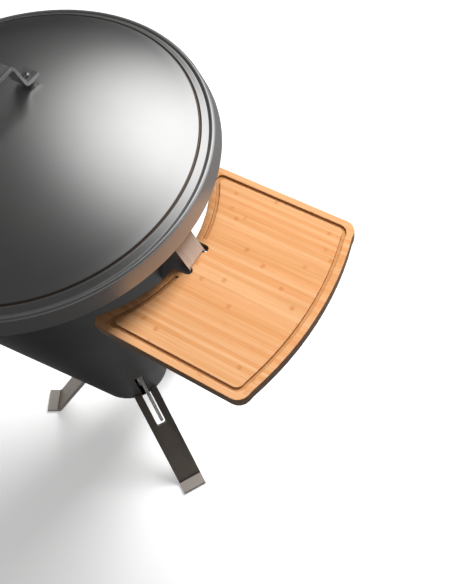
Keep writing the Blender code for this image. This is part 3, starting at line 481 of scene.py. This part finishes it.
ring_low, ring_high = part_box("rim_ring")
ring_outer = (ring_high.y - ring_low.y) / 2
satin = plain_steel("satin ring steel", (0.60, 0.60, 0.61), 0.33)
returned("satin_rim_ring", "rim_ring", "stand", satin, "satin_steel")
weld_count = 24
weld_radius = 0.0028
weld = lathe("spot weld", [(0, -0.0003), (weld_radius, -0.0003), (weld_radius, 0.00004),
                           (weld_radius * 0.82, 0.0002), (weld_radius * 0.6, 0.00008), (0, 0.00005)], 16)
weld_reach = ring_outer - 0.0165
weld_places = [((cone_x + weld_reach * math.cos(a), weld_reach * math.sin(a), ring_high.z), (0, 0, a))
               for a in [math.tau * (step + 0.5) / weld_count for step in range(weld_count)]]
heat_tint = plain_steel("weld with heat tint", (0.36, 0.30, 0.24), 0.42)
placed(repeated("spot_welds", weld, weld_places, heat_tint), "stand", heat_tint, "satin_steel")


# ---- Regulating lever and its bracket --------------------------------------------------------
# The lever is laser cut from 7 mm stainless plate and stands on edge in the front leg's slot. Its
# cut edge is bright and striped; the bent bracket behind the cone's slot carries its pivot pin.
# Its flat sides are painted dark as painted shade.

made, tree, shader = finish_named("laser-cut lever", 0.40, 1.0)
along = stretched(tree, (1, 1, 1), front_angle, (cone_x, 0, 0))
parts = add(tree, "ShaderNodeSeparateXYZ", {0: along}).outputs
run = maths(tree, "SUBTRACT", maths(tree, "MULTIPLY", parts[0], 0.54), maths(tree, "MULTIPLY", parts[2], 0.84))
stripe_wave = maths(tree, "SINE", maths(tree, "MULTIPLY", run, 1750))
jitter = noise(tree, stretched(tree, (420, 420, 420), front_angle), 1.0, 2.0)
stripe = maths(tree, "ADD", maths(tree, "MULTIPLY", stripe_wave, 0.26), jitter)
# Painted shade: the flat sides of the plate get a dark tone (0.26), standing in for shade on the upright faces.
side = between(tree, facing(tree, (-math.sin(front_angle), math.cos(front_angle), 0)), 0.75, 0.9)
edge_tone = mixed(tree, between(tree, stripe, 0.3, 0.75), (0.24, 0.22, 0.20), (0.97, 0.94, 0.90))
tree.links.new(mixed(tree, side, edge_tone, (0.26, 0.24, 0.22)), shader.inputs["Base Color"])
tree.links.new(between(tree, side, 0.0, 1.0, 0.40, 1.0), shader.inputs["Metallic"])
bumped(tree, shader, stripe, 0.00015, 0.6)
softened("lever_plate", "regulating_lever", "lever", 0.0005, made, "lever_steel")
bright = plain_steel("bright bracket steel", (0.66, 0.66, 0.65), 0.28)
softened("lever_cheeks", "lever_bracket", "stand", 0.0004, bright, "bracket_steel")
softened("lever_pin", "pivot_pin", "stand", 0.0003, zinc, "fastener")


# ---- Lift stem, guide and charcoal bowl ------------------------------------------------------
# A turned stem slides in a flanged guide and carries the charcoal bowl, a pressed and slotted
# stainless cone that has coloured and greyed a little in the fire.

gear_steel = plain_steel("turned gear steel", (0.58, 0.58, 0.58), 0.30)
returned("turned_stem", "lift_stem", "bowl", gear_steel, "gear_steel", 48)
returned("turned_guide", "stem_guide", "stand", gear_steel, "gear_steel", 48)
bowl_steel, tree, shader = finish_named("fired bowl steel", 0.42, 1.0)
stain = noise(tree, stretched(tree, (14, 14, 26)), 1.0, 6.0)
fine = noise(tree, stretched(tree, (600, 600, 600)), 1.0, 2.0)
tone = mixed(tree, between(tree, stain, 0.32, 0.6), (0.52, 0.50, 0.48), (0.34, 0.28, 0.22))
tone = mixed(tree, between(tree, stain, 0.58, 0.78), tone, (0.20, 0.20, 0.21))
tree.links.new(tone, shader.inputs["Base Color"])
tree.links.new(between(tree, stain, 0.3, 0.7, 0.34, 0.55), shader.inputs["Roughness"])
bumped(tree, shader, fine, 0.00005, 0.4)
softened("slotted_bowl", "charcoal_bowl", "bowl", 0.0003, bowl_steel, "bowl_steel", 34)


# ---- Cooking grate ---------------------------------------------------------------------------
# Straight stainless rods welded into a round outer wire, with two cross rods beneath. The rods
# have little round ends and a brown tint where the fire reaches them.

grate_low, grate_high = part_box("cooking_grate")
wire_radius, rod_radius, rod_count = 0.004, 0.003, 17
grate_middle = (grate_high.y - grate_low.y) / 2 - wire_radius
grate_height = grate_high.z - wire_radius
grate_steel, tree, shader = finish_named("drawn rod steel", 0.30, 1.0)
stain = noise(tree, stretched(tree, (9, 9, 9)), 1.0, 5.0)
drawn = noise(tree, stretched(tree, (900, 12, 900)), 1.0, 2.0)
tree.links.new(
    mixed(tree, between(tree, stain, 0.45, 0.75), (0.58, 0.57, 0.56), (0.30, 0.23, 0.17)),
    shader.inputs["Base Color"],
)
tree.links.new(between(tree, stain, 0.3, 0.8, 0.26, 0.45), shader.inputs["Roughness"])
bumped(tree, shader, drawn, 0.00004, 0.4)


def grate_tree():
    """Rods across a circle, as tubes: outer wire, parallel rods and cross rods."""
    tree = bpy.data.node_groups.new("round grate", "GeometryNodeTree")
    sockets = {}
    for label, kind in (("Reach", "NodeSocketFloat"), ("Wire", "NodeSocketFloat"), ("Rod", "NodeSocketFloat"),
                        ("Rods", "NodeSocketInt")):
        sockets[label] = tree.interface.new_socket(label, in_out="INPUT", socket_type=kind).identifier
    tree.interface.new_socket("Geometry", in_out="OUTPUT", socket_type="NodeSocketGeometry")
    given, end = add(tree, "NodeGroupInput").outputs, add(tree, "NodeGroupOutput")

    def number(operation, first, second=0.0):
        return add(tree, "ShaderNodeMath", {0: first, 1: second}, operation=operation).outputs[0]

    def tube(curve, radius, sides):
        ring = add(tree, "GeometryNodeCurvePrimitiveCircle", {"Resolution": sides, "Radius": radius})
        return add(tree, "GeometryNodeCurveToMesh",
                   {"Curve": curve, "Profile Curve": ring.outputs["Curve"], "Fill Caps": True}).outputs["Mesh"]

    def across(count, spread, height, turn):
        """Unit lines stretched to the chord they make, laid side by side."""
        step = number("DIVIDE", number("MULTIPLY", given["Reach"], 2 * spread), number("ADD", count, 1.0))
        first = number("SUBTRACT", step, number("MULTIPLY", given["Reach"], spread))
        start = add(tree, "ShaderNodeCombineXYZ", {"X": first})
        offset = add(tree, "ShaderNodeCombineXYZ", {"X": step})
        line = add(tree, "GeometryNodeMeshLine", {"Count": count, "Start Location": start.outputs[0],
                                                  "Offset": offset.outputs[0]})
        place = add(tree, "ShaderNodeSeparateXYZ", {0: add(tree, "GeometryNodeInputPosition").outputs[0]}).outputs[0]
        chord = number("SQRT", number("SUBTRACT", number("MULTIPLY", given["Reach"], given["Reach"]),
                                      number("MULTIPLY", place, place)))
        unit = add(tree, "GeometryNodeCurvePrimitiveLine", {"Start": (0, -1, 0), "End": (0, 1, 0)})
        size = add(tree, "ShaderNodeCombineXYZ", {"X": 1.0, "Y": chord, "Z": 1.0})
        put = add(tree, "GeometryNodeInstanceOnPoints", {"Points": line.outputs["Mesh"],
                  "Instance": unit.outputs["Curve"], "Scale": size.outputs[0]})
        real = add(tree, "GeometryNodeRealizeInstances", {"Geometry": put.outputs["Instances"]})
        rods = tube(real.outputs["Geometry"], given["Rod"], 10)
        return add(tree, "GeometryNodeTransform", {"Geometry": rods, "Translation": (0, 0, height),
                                                   "Rotation": (0, 0, turn)}).outputs["Geometry"]

    rim = add(tree, "GeometryNodeCurvePrimitiveCircle", {"Resolution": 144, "Radius": given["Reach"]})
    joined = add(tree, "GeometryNodeJoinGeometry")
    for geometry in (tube(rim.outputs["Curve"], given["Wire"], 12), across(given["Rods"], 1.0, 0.0006, 0.0)):
        tree.links.new(geometry, joined.inputs["Geometry"])
    two = add(tree, "FunctionNodeInputInt")
    two.integer = 2
    tree.links.new(across(two.outputs[0], 1.35, -0.0035, math.pi / 2), joined.inputs["Geometry"])
    dressed = add(tree, "GeometryNodeSetMaterial", {"Geometry": joined.outputs["Geometry"], "Material": grate_steel})
    tree.links.new(dressed.outputs["Geometry"], end.inputs["Geometry"])
    return tree, sockets


tree, sockets = grate_tree()
grate = bpy.data.objects.new("rod_grate", bpy.data.meshes.new("rod_grate"))
bpy.context.scene.collection.objects.link(grate)
nodes = grate.modifiers.new("grate", "NODES")
nodes.node_group = tree
nodes[sockets["Reach"]] = grate_middle
nodes[sockets["Wire"]] = wire_radius
nodes[sockets["Rod"]] = rod_radius
nodes[sockets["Rods"]] = rod_count
mesh = bpy.data.meshes.new_from_object(grate.evaluated_get(bpy.context.evaluated_depsgraph_get()))
grate.modifiers.clear()
grate.data = mesh
mesh.transform(Matrix.Translation((cone_x, 0, grate_height)))
mesh.shade_smooth()
placed(grate, "grate", grate_steel, "grate_rod", "cooking_grate")


# ---- Lid -------------------------------------------------------------------------------------
# The lid is pressed from 1.2 mm stainless sheet in one piece: a shallow dome, a narrow rolled
# groove, a flat land, a raised bead and a short skirt. Its finish is an even fine satin.
# The groove is painted dark brown as painted shade.

lid_low, lid_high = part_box("lid_shell")
lid_sheet = 0.0012
lid_radius = (lid_high.y - lid_low.y) / 2 - lid_sheet / 2
dome_rise, dome_edge, edge_height = 0.068, 0.256, 0.9025
dome_curve = (dome_edge ** 2 + dome_rise ** 2) / (2 * dome_rise)
groove_radius, bead_radius = 0.261, 0.278


def dome_height(radius):
    """Middle of the lid's sheet."""
    return edge_height + dome_rise - dome_curve + math.sqrt(dome_curve ** 2 - radius ** 2)


dome = [(dome_edge * step / 24, dome_height(dome_edge * step / 24)) for step in range(24)]
shoulder = [
    (dome_edge - 0.001, dome_height(dome_edge - 0.001)), (groove_radius - 0.0020, edge_height - 0.0012),
    (groove_radius - 0.0008, edge_height - 0.0036), (groove_radius + 0.0012, edge_height - 0.0036),
    (groove_radius + 0.0024, edge_height - 0.0022), (bead_radius - 0.0058, edge_height - 0.0092),
    (bead_radius - 0.0030, edge_height - 0.0074), (bead_radius - 0.0002, edge_height - 0.0069),
    (bead_radius + 0.0026, edge_height - 0.0096), (lid_radius, lid_low.z + 0.0006),
]
lid_path = dome + rounded(shoulder, 0.0022, 4)
lid = moved(lathe("satin_lid", walled(lid_path, lid_sheet), 288, 50), cone_x)

lid_steel, tree, shader = finish_named("satin lid steel", 0.34, 1.0)
centred = stretched(tree, (1, 1, 1), 0.0, (cone_x, 0, 0))
x, y, _ = add(tree, "ShaderNodeSeparateXYZ", {0: centred}).outputs
radius = maths(tree, "SQRT", maths(tree, "ADD", maths(tree, "MULTIPLY", x, x), maths(tree, "MULTIPLY", y, y)))
height = add(tree, "ShaderNodeSeparateXYZ", {0: centred}).outputs[2]
grain = noise(tree, stretched(tree, (1100, 1100, 1100)), 1.0, 3.0, 0.7)
cloud = noise(tree, stretched(tree, (7, 7, 7)), 1.0, 4.0)
steel = mixed(tree, between(tree, grain, 0.25, 0.75), (0.70, 0.70, 0.695), (0.80, 0.80, 0.795))
steel = mixed(tree, between(tree, cloud, 0.35, 0.7, 0, 0.3), steel, (0.72, 0.71, 0.69))
# Painted shade: a dark brown line painted along the groove's hollow.
off_groove = maths(tree, "ABSOLUTE", maths(tree, "SUBTRACT", radius, groove_radius))
painted_groove_shade = between(tree, off_groove, 0.0008, 0.0024, 1.0, 0.0, True)
steel = mixed(tree, maths(tree, "MULTIPLY", painted_groove_shade, 0.85), steel, (0.20, 0.13, 0.085))
skirt = between(tree, radius, bead_radius + 0.0012, bead_radius + 0.0034, 0.0, 1.0, True)
steel = mixed(tree, skirt, steel, (0.46, 0.455, 0.455))
tree.links.new(steel, shader.inputs["Base Color"])
tree.links.new(between(tree, skirt, 0.0, 1.0, 1.0, 0.55), shader.inputs["Metallic"])
tree.links.new(between(tree, cloud, 0.2, 0.8, 0.29, 0.35), shader.inputs["Roughness"])
bumped(tree, shader, grain, 0.00005, 0.35)

thermometer_angle, thermometer_reach = math.radians(240), 0.135
placed(lid, "lid", lid_steel, "lid_steel", "lid_shell")
returned("satin_seat_ring", "lid_seat_ring", "lid", satin, "satin_steel")


# ---- Handle ----------------------------------------------------------------------------------
# A bow of 26 by 5 mm stainless bar on two turned spacers, held by button-head screws with a
# hexagon socket. Its edges are broken so that it is kind to the hand.

handle_steel, tree, shader = finish_named("brushed handle steel", 0.30, 1.0)
brushed = noise(tree, stretched(tree, (900, 14, 900)), 1.0, 3.0)
tree.links.new(
    mixed(tree, between(tree, brushed, 0.3, 0.7), (0.56, 0.56, 0.56), (0.74, 0.74, 0.73)),
    shader.inputs["Base Color"],
)
tree.links.new(between(tree, brushed, 0.3, 0.7, 0.26, 0.38), shader.inputs["Roughness"])
bumped(tree, shader, brushed, 0.00006, 0.5)
softened("handle_bow", "lid_handle", "lid", 0.0012, handle_steel, "handle_steel", 32, 3)
for number in (1, 2):
    softened(f"turned_spacer_{number}", f"handle_spacer_{number}", "lid", 0.0004, handle_steel, "handle_steel")
screw_low, screw_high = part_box("handle_screw_1")
screw_middle = (screw_low + screw_high) / 2
other_middle = sum(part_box("handle_screw_2"), Vector()) / 2
screw_shank, screw_head, head_height = 0.0028, 0.0050, 0.0028
screw_length = screw_high.z - screw_low.z
dome_steps = [math.radians(90 * step / 6) for step in range(7)]
screw = lathe("button screw", [(0, -screw_length), (screw_shank - 0.0006, -screw_length),
              (screw_shank, -screw_length + 0.0008), (screw_shank, -head_height), (screw_head, -head_height)]
              + [(screw_head * math.cos(a), -head_height * 0.8 + head_height * 0.8 * math.sin(a)) for a in dome_steps], 40)
screw = carved(screw, hex_prism("socket", 0.0019, -0.0016, 0.002))
screw_places = [((middle.x, middle.y, screw_high.z), (0, 0, 0.3)) for middle in (screw_middle, other_middle)]
placed(repeated("button_screws", screw, screw_places, zinc), "lid", zinc, "fastener", "handle_screw_1", "handle_screw_2")


# ---- Thermometer -----------------------------------------------------------------------------
# A bimetal thermometer stands square on the dome: a polished case with a rolled bezel, a white
# dial with a scale in degrees, a red needle on the probe's pin, and a flat glass.

tilt = math.asin(thermometer_reach / dome_curve)
seat = (Matrix.Translation((cone_x, 0, 0)) @ Matrix.Rotation(thermometer_angle, 4, "Z")
        @ Matrix.Translation((thermometer_reach, 0, dome_height(thermometer_reach))) @ Matrix.Rotation(tilt, 4, "Y"))
case_radius, case_height, case_wall = 0.030, 0.013, 0.002
case_lift = lid_sheet / 2 + 0.0003 + case_radius ** 2 / (2 * dome_curve)
pin_bore = 0.0033
case_top = case_lift + case_height
case_inner = case_radius - case_wall
bezel = [(case_radius + 0.0006 * math.cos(a), case_top - 0.0016 + 0.0016 * math.sin(a))
         for a in [math.radians(-60 + 25 * step) for step in range(7)]]
case = lathe("polished_case", [
    (pin_bore, case_lift), (case_radius - 0.003, case_lift), (case_radius - 0.0012, case_lift + 0.001),
    (case_radius - 0.0012, case_top - 0.004), *bezel, (case_inner + 0.0003, case_top - 0.0008),
    (case_inner, case_top - 0.0018), (case_inner, case_lift + 0.002), (pin_bore, case_lift + 0.002),
], 96)
case.data.transform(seat)
polished = plain_steel("polished case steel", (0.72, 0.72, 0.72), 0.14, 300, 0.00001)
placed(case, "lid", polished, "thermometer_steel", "thermometer_case")
softened("probe_rod", "thermometer_probe", "lid", 0.0002, polished, "thermometer_steel")
softened("probe_hex_nut", "probe_nut", "lid", 0.0004, zinc, "fastener")

dial_paint, tree, shader = finish_named("white dial", 0.5, 0.0, (0.86, 0.86, 0.83))
mottle = noise(tree, stretched(tree, (180, 180, 180)), 1.0, 2.0)
tree.links.new(
    mixed(tree, between(tree, mottle, 0.3, 0.7), (0.83, 0.83, 0.80), (0.88, 0.88, 0.85)),
    shader.inputs["Base Color"],
)
softened("dial_plate", "thermometer_dial", "lid", 0.0, dial_paint, "dial_white")
dial_top = case_lift + 0.002 + 0.0003 + 0.001
ink, tree, shader = finish_named("black dial ink", 0.55, 0.0, (0.015, 0.015, 0.016))
scale_start, scale_sweep, tick_count = math.radians(-45), math.radians(270), 36
tick_reach = case_inner - 0.0030
marks = []
for step in range(tick_count):
    angle = scale_start - scale_sweep * step / (tick_count - 1)
    major = step % 5 == 0
    length, width = (0.0036, 0.0007) if major else (0.0020, 0.0004)
    tick = block(f"tick {step}", (tick_reach - length, -width / 2, dial_top - 0.0001), (tick_reach, width / 2, dial_top + 0.0001))
    marks.append(moved(tick, turn=angle))
    if major:
        letters = bpy.data.curves.new(f"number {step}", "FONT")
        letters.body = str(step * 10)
        letters.size = 0.0046
        letters.align_x, letters.align_y = "CENTER", "CENTER"
        letters.extrude = 0.0001
        marks.append(bpy.data.objects.new(f"number {step}", letters))
        reach = tick_reach - length - 0.0036
        marks[-1].matrix_world = (Matrix.Translation((reach * math.cos(angle), reach * math.sin(angle), dial_top))
                                  @ Matrix.Rotation(math.pi / 2, 4, "Z"))
unit = bpy.data.curves.new("unit", "FONT")
unit.body, unit.size, unit.extrude = "°C", 0.0050, 0.0001
unit.align_x, unit.align_y = "CENTER", "CENTER"
marks.append(bpy.data.objects.new("unit", unit))
marks[-1].matrix_world = Matrix.Translation((0.0110, 0, dial_top)) @ Matrix.Rotation(math.pi / 2, 4, "Z")
gathered = bmesh.new()
for mark in marks:
    if mark.name not in bpy.context.scene.collection.objects:
        bpy.context.scene.collection.objects.link(mark)
bpy.context.view_layer.update()
graph = bpy.context.evaluated_depsgraph_get()
for mark in marks:
    piece = bpy.data.meshes.new_from_object(mark.evaluated_get(graph))
    piece.transform(mark.matrix_world)
    gathered.from_mesh(piece)
    bpy.data.objects.remove(mark)
scale_marks = from_shape("dial_scale", gathered, 20)
scale_marks.data.transform(seat)
placed(scale_marks, "lid", ink, "dial_white")

needle_paint, tree, shader = finish_named("red needle paint", 0.32, 0.0, (0.55, 0.03, 0.02))
mottle = noise(tree, stretched(tree, (400, 400, 400)), 1.0, 2.0)
tree.links.new(
    mixed(tree, mottle, (0.50, 0.025, 0.018), (0.60, 0.035, 0.022)),
    shader.inputs["Base Color"],
)
softened("pointer", "thermometer_needle", "needle", 0.0001, needle_paint, "needle_red")
glass, tree, shader = finish_named("dial glass", 0.02, 0.0, (1, 1, 1), transmission_weight=1.0, ior=1.45)
softened("flat_glass", "thermometer_lens", "lid", 0.0003, glass, "lens_glass")


# ---- Side board ------------------------------------------------------------------------------
# The board is glued from narrow bamboo strips that run out from the grill, cut to follow the cone,
# with rounded edges, a milled juice groove and two notches for its bracket, and oiled.
# The board's upright faces are painted darker as painted shade.

board_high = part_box("side_board")[1]
strip_width = 0.0062
knuckle_pitch = 0.150
bamboo, tree, shader = finish_named("oiled bamboo", 0.44, 0.0, specular_ior_level=0.42)
plain = stretched(tree, (1, 1, 1))
x, y, z = add(tree, "ShaderNodeSeparateXYZ", {0: plain}).outputs
wander = noise(tree, stretched(tree, (5, 30, 5)), 1.0, 2.0)
across = maths(tree, "DIVIDE", maths(tree, "ADD", y, maths(tree, "MULTIPLY", wander, 0.0012)), strip_width)
strip = maths(tree, "FLOOR", across)
within = maths(tree, "FRACT", across)
chance = add(tree, "ShaderNodeTexWhiteNoise", {"W": strip}, noise_dimensions="1D").outputs["Value"]
second = maths(tree, "FRACT", maths(tree, "MULTIPLY", chance, 37.7))
third = maths(tree, "FRACT", maths(tree, "MULTIPLY", chance, 91.3))
fibre = noise(tree, stretched(tree, (7, 1500, 1500)), 1.0, 5.0, 0.65)
streak = noise(tree, stretched(tree, (5, 160, 160)), 1.0, 4.0, 0.6)
light, warm, deep = (0.86, 0.475, 0.235), (0.77, 0.350, 0.138), (0.52, 0.190, 0.056)
tone = mixed(tree, chance, light, warm)
tone = mixed(tree, between(tree, streak, 0.42, 0.72, 0, 0.55), tone, (0.66, 0.315, 0.110))
tone = mixed(tree, between(tree, fibre, 0.48, 0.72, 0, 0.62), tone, deep)
tone = mixed(tree, between(tree, fibre, 0.2, 0.42, 0.35, 0), tone, (0.92, 0.66, 0.40))
along = maths(tree, "FRACT", maths(tree, "ADD", maths(tree, "DIVIDE", x, knuckle_pitch), second))
off_knuckle = maths(tree, "MULTIPLY", maths(tree, "ABSOLUTE", maths(tree, "SUBTRACT", along, 0.5)), knuckle_pitch)
ragged = maths(tree, "MULTIPLY", noise(tree, stretched(tree, (300, 900, 300)), 1.0, 3.0), 0.0075)
knuckle = between(tree, maths(tree, "SUBTRACT", off_knuckle, ragged), -0.004, 0.0015, 1.0, 0.0, True)
seen = between(tree, third, 0.55, 0.80)
knuckle = maths(tree, "MULTIPLY", maths(tree, "MULTIPLY", knuckle, seen), 0.62)
tone = mixed(tree, knuckle, tone, (0.58, 0.190, 0.048))
joint = between(tree, maths(tree, "ABSOLUTE", maths(tree, "SUBTRACT", within, 0.5)), 0.46, 0.5, 0, 0.16)
tone = mixed(tree, joint, tone, (0.40, 0.17, 0.05))
normal = add(tree, "ShaderNodeTexCoord").outputs["Normal"]
up = add(tree, "ShaderNodeSeparateXYZ", {0: normal}).outputs[2]
# Painted shade: faces that do not face up get a darker streaked tone, as if in shade.
flank = between(tree, up, 0.25, 0.75, 1.0, 0.0, True)
streaked_painted_side_shade = mixed(tree, between(tree, streak, 0.35, 0.7), (0.34, 0.185, 0.095), (0.25, 0.130, 0.068))
tone = mixed(tree, maths(tree, "MULTIPLY", flank, 0.80), tone, streaked_painted_side_shade)
sunk = between(tree, z, board_high.z - 0.0030, board_high.z - 0.0008, 1.0, 0.0)
groove_shade = maths(tree, "MULTIPLY", sunk, maths(tree, "SUBTRACT", 1.0, flank))
tone = mixed(tree, maths(tree, "MULTIPLY", groove_shade, 0.62), tone, (0.52, 0.235, 0.080))
tree.links.new(tone, shader.inputs["Base Color"])
tree.links.new(between(tree, fibre, 0.3, 0.75, 0.38, 0.56), shader.inputs["Roughness"])
bumped(tree, shader, maths(tree, "ADD", fibre, maths(tree, "MULTIPLY", joint, -1.5)), 0.00010, 0.45)
softened("bamboo_board", "side_board", "board", 0.0016, bamboo, "bamboo", 32, 3)


# ---- Board bracket ---------------------------------------------------------------------------
# Bent from 2.5 mm stainless: a hook through the cone's slot, a sloping plate that bears on the
# board, and two flanges that stand in its notches and reach under it.
# The plate is painted light and the flanges dark: painted highlight and painted shade.

hanger, tree, shader = finish_named("brushed hanger steel", 0.33, 1.0)
brushed = noise(tree, stretched(tree, (20, 1200, 20)), 1.0, 3.0)
cloud = noise(tree, stretched(tree, (60, 60, 60)), 1.0, 3.0)
# Painted light and shade: the sloping plate gets a light, less metallic tone and the flanges a dark one (0.34), lit and
# shaded copies of one steel.
plate = between(tree, facing(tree, (0, 1, 0)), 0.6, 0.9, 1.0, 0.0)
brushed_painted_highlight = mixed(tree, between(tree, brushed, 0.3, 0.7), (0.72, 0.68, 0.66), (0.88, 0.84, 0.82))
tree.links.new(mixed(tree, plate, (0.34, 0.32, 0.31), brushed_painted_highlight), shader.inputs["Base Color"])
tree.links.new(between(tree, plate, 0.0, 1.0, 1.0, 0.45), shader.inputs["Metallic"])
tree.links.new(between(tree, cloud, 0.3, 0.7, 0.36, 0.46), shader.inputs["Roughness"])
bumped(tree, shader, brushed, 0.00006, 0.5)
softened("bent_hanger", "board_bracket", "stand", 0.0004, hanger, "board_bracket_steel")


# ---- Studio ----------------------------------------------------------------------------------
# A pale floor that runs out to white, one broad soft lamp overhead, and an even room whose
# reflections are bright behind the grill and dark on the side of the viewer.

floor_size = 14.0
floor = block("studio_floor", (-floor_size, -floor_size, -0.02), (floor_size, floor_size, 0.0))
paper, tree, shader = finish_named("white studio paper", 0.9, 0.0, specular_ior_level=0.1)
shader.inputs["Emission Color"].default_value = (1, 1, 0.995, 1)
camera_ray = add(tree, "ShaderNodeLightPath").outputs["Is Camera Ray"]
place = add(tree, "ShaderNodeTexCoord").outputs["Object"]
reach = add(tree, "ShaderNodeVectorMath", {0: place}, operation="LENGTH").outputs["Value"]
lit = maths(tree, "MAXIMUM", between(tree, reach, 0.5, 1.3, 0.50, 0.03, True), maths(tree, "MULTIPLY", camera_ray, 0.94))
tree.links.new(lit, shader.inputs["Base Color"])
tree.links.new(maths(tree, "MULTIPLY", camera_ray, 0.34), shader.inputs["Emission Strength"])
floor.data.materials.append(paper)

world = bpy.data.worlds.new("studio")
bpy.context.scene.world = world
world.use_nodes = True
tree = world.node_tree
tree.nodes.clear()
direction = add(tree, "ShaderNodeTexCoord").outputs["Generated"]
lean = add(tree, "ShaderNodeVectorMath", {0: direction, 1: (0.137, 0.776, 0.616)}, operation="DOT_PRODUCT").outputs["Value"]
ramp = add(tree, "ShaderNodeValToRGB", {0: between(tree, lean, -1.0, 1.0)}).color_ramp
reflected = [(-1.0, 0.05), (0.40, 0.05), (0.55, 0.07), (0.65, 0.09), (0.71, 0.13), (0.76, 0.26), (0.82, 0.56),
             (0.87, 0.78), (0.91, 0.98), (0.94, 1.18), (0.975, 1.38), (1.0, 1.42)]
for index, (place, level) in enumerate(reflected):
    stop = ramp.elements[index] if index < 2 else ramp.elements.new((place + 1) / 2)
    stop.position = (place + 1) / 2
    stop.color = (level, level, level, 1)
ramp_colour = [node for node in tree.nodes if node.bl_idname == "ShaderNodeValToRGB"][0].outputs["Color"]
rays = add(tree, "ShaderNodeLightPath").outputs
room = add(tree, "ShaderNodeBackground", {"Color": (1, 1, 1, 1), "Strength": 0.22})
mirrored = add(tree, "ShaderNodeBackground", {"Color": ramp_colour, "Strength": 1.0})
behind = add(tree, "ShaderNodeBackground", {"Color": (1, 1, 1, 1), "Strength": 1.0})
first = add(tree, "ShaderNodeMixShader", {0: rays["Is Glossy Ray"], 1: room.outputs[0], 2: mirrored.outputs[0]})
seen_by = maths(tree, "MAXIMUM", rays["Is Camera Ray"], rays["Is Transmission Ray"])
second = add(tree, "ShaderNodeMixShader", {0: seen_by, 1: first.outputs[0], 2: behind.outputs[0]})
add(tree, "ShaderNodeOutputWorld", {"Surface": second.outputs[0]})


def softbox(name, place, aim, size, power):
    lamp = bpy.data.lights.new(name, "AREA")
    lamp.shape, lamp.size, lamp.size_y = "RECTANGLE", *size
    lamp.energy = power
    made = bpy.data.objects.new(name, lamp)
    bpy.context.scene.collection.objects.link(made)
    made.location = place
    made.rotation_euler = (Vector(aim) - Vector(place)).to_track_quat("-Z", "Y").to_euler()
    made.visible_glossy = False
    return made


softbox("overhead softbox", (cone_x + 0.45, 2.1, 3.4), (cone_x + 0.1, 0, 0.5), (1.7, 1.7), 160)

camera_data = bpy.data.cameras.new("camera")
camera_data.lens, camera_data.sensor_width, camera_data.sensor_fit = 67.54, 36.0, "HORIZONTAL"
camera = bpy.data.objects.new("camera", camera_data)
bpy.context.scene.collection.objects.link(camera)
heading, pitch, roll = math.radians(135.2), math.radians(58.463), math.radians(-14.638)
ahead = Vector((math.cos(heading) * math.cos(pitch), math.sin(heading) * math.cos(pitch), -math.sin(pitch)))
level = ahead.cross(Vector((0, 0, 1))).normalized()
upward = level.cross(ahead)
camera_x = level * math.cos(roll) + upward * math.sin(roll)
camera_y = upward * math.cos(roll) - level * math.sin(roll)
camera.matrix_world = Matrix.Translation((cone_x + 0.7712, -0.4381, 1.7719)) @ Matrix((
    (camera_x.x, camera_y.x, -ahead.x, 0), (camera_x.y, camera_y.y, -ahead.y, 0),
    (camera_x.z, camera_y.z, -ahead.z, 0), (0, 0, 0, 1),
))
bpy.context.scene.camera = camera
bpy.context.scene.view_settings.view_transform = "Standard"

bpy.context.view_layer.update()
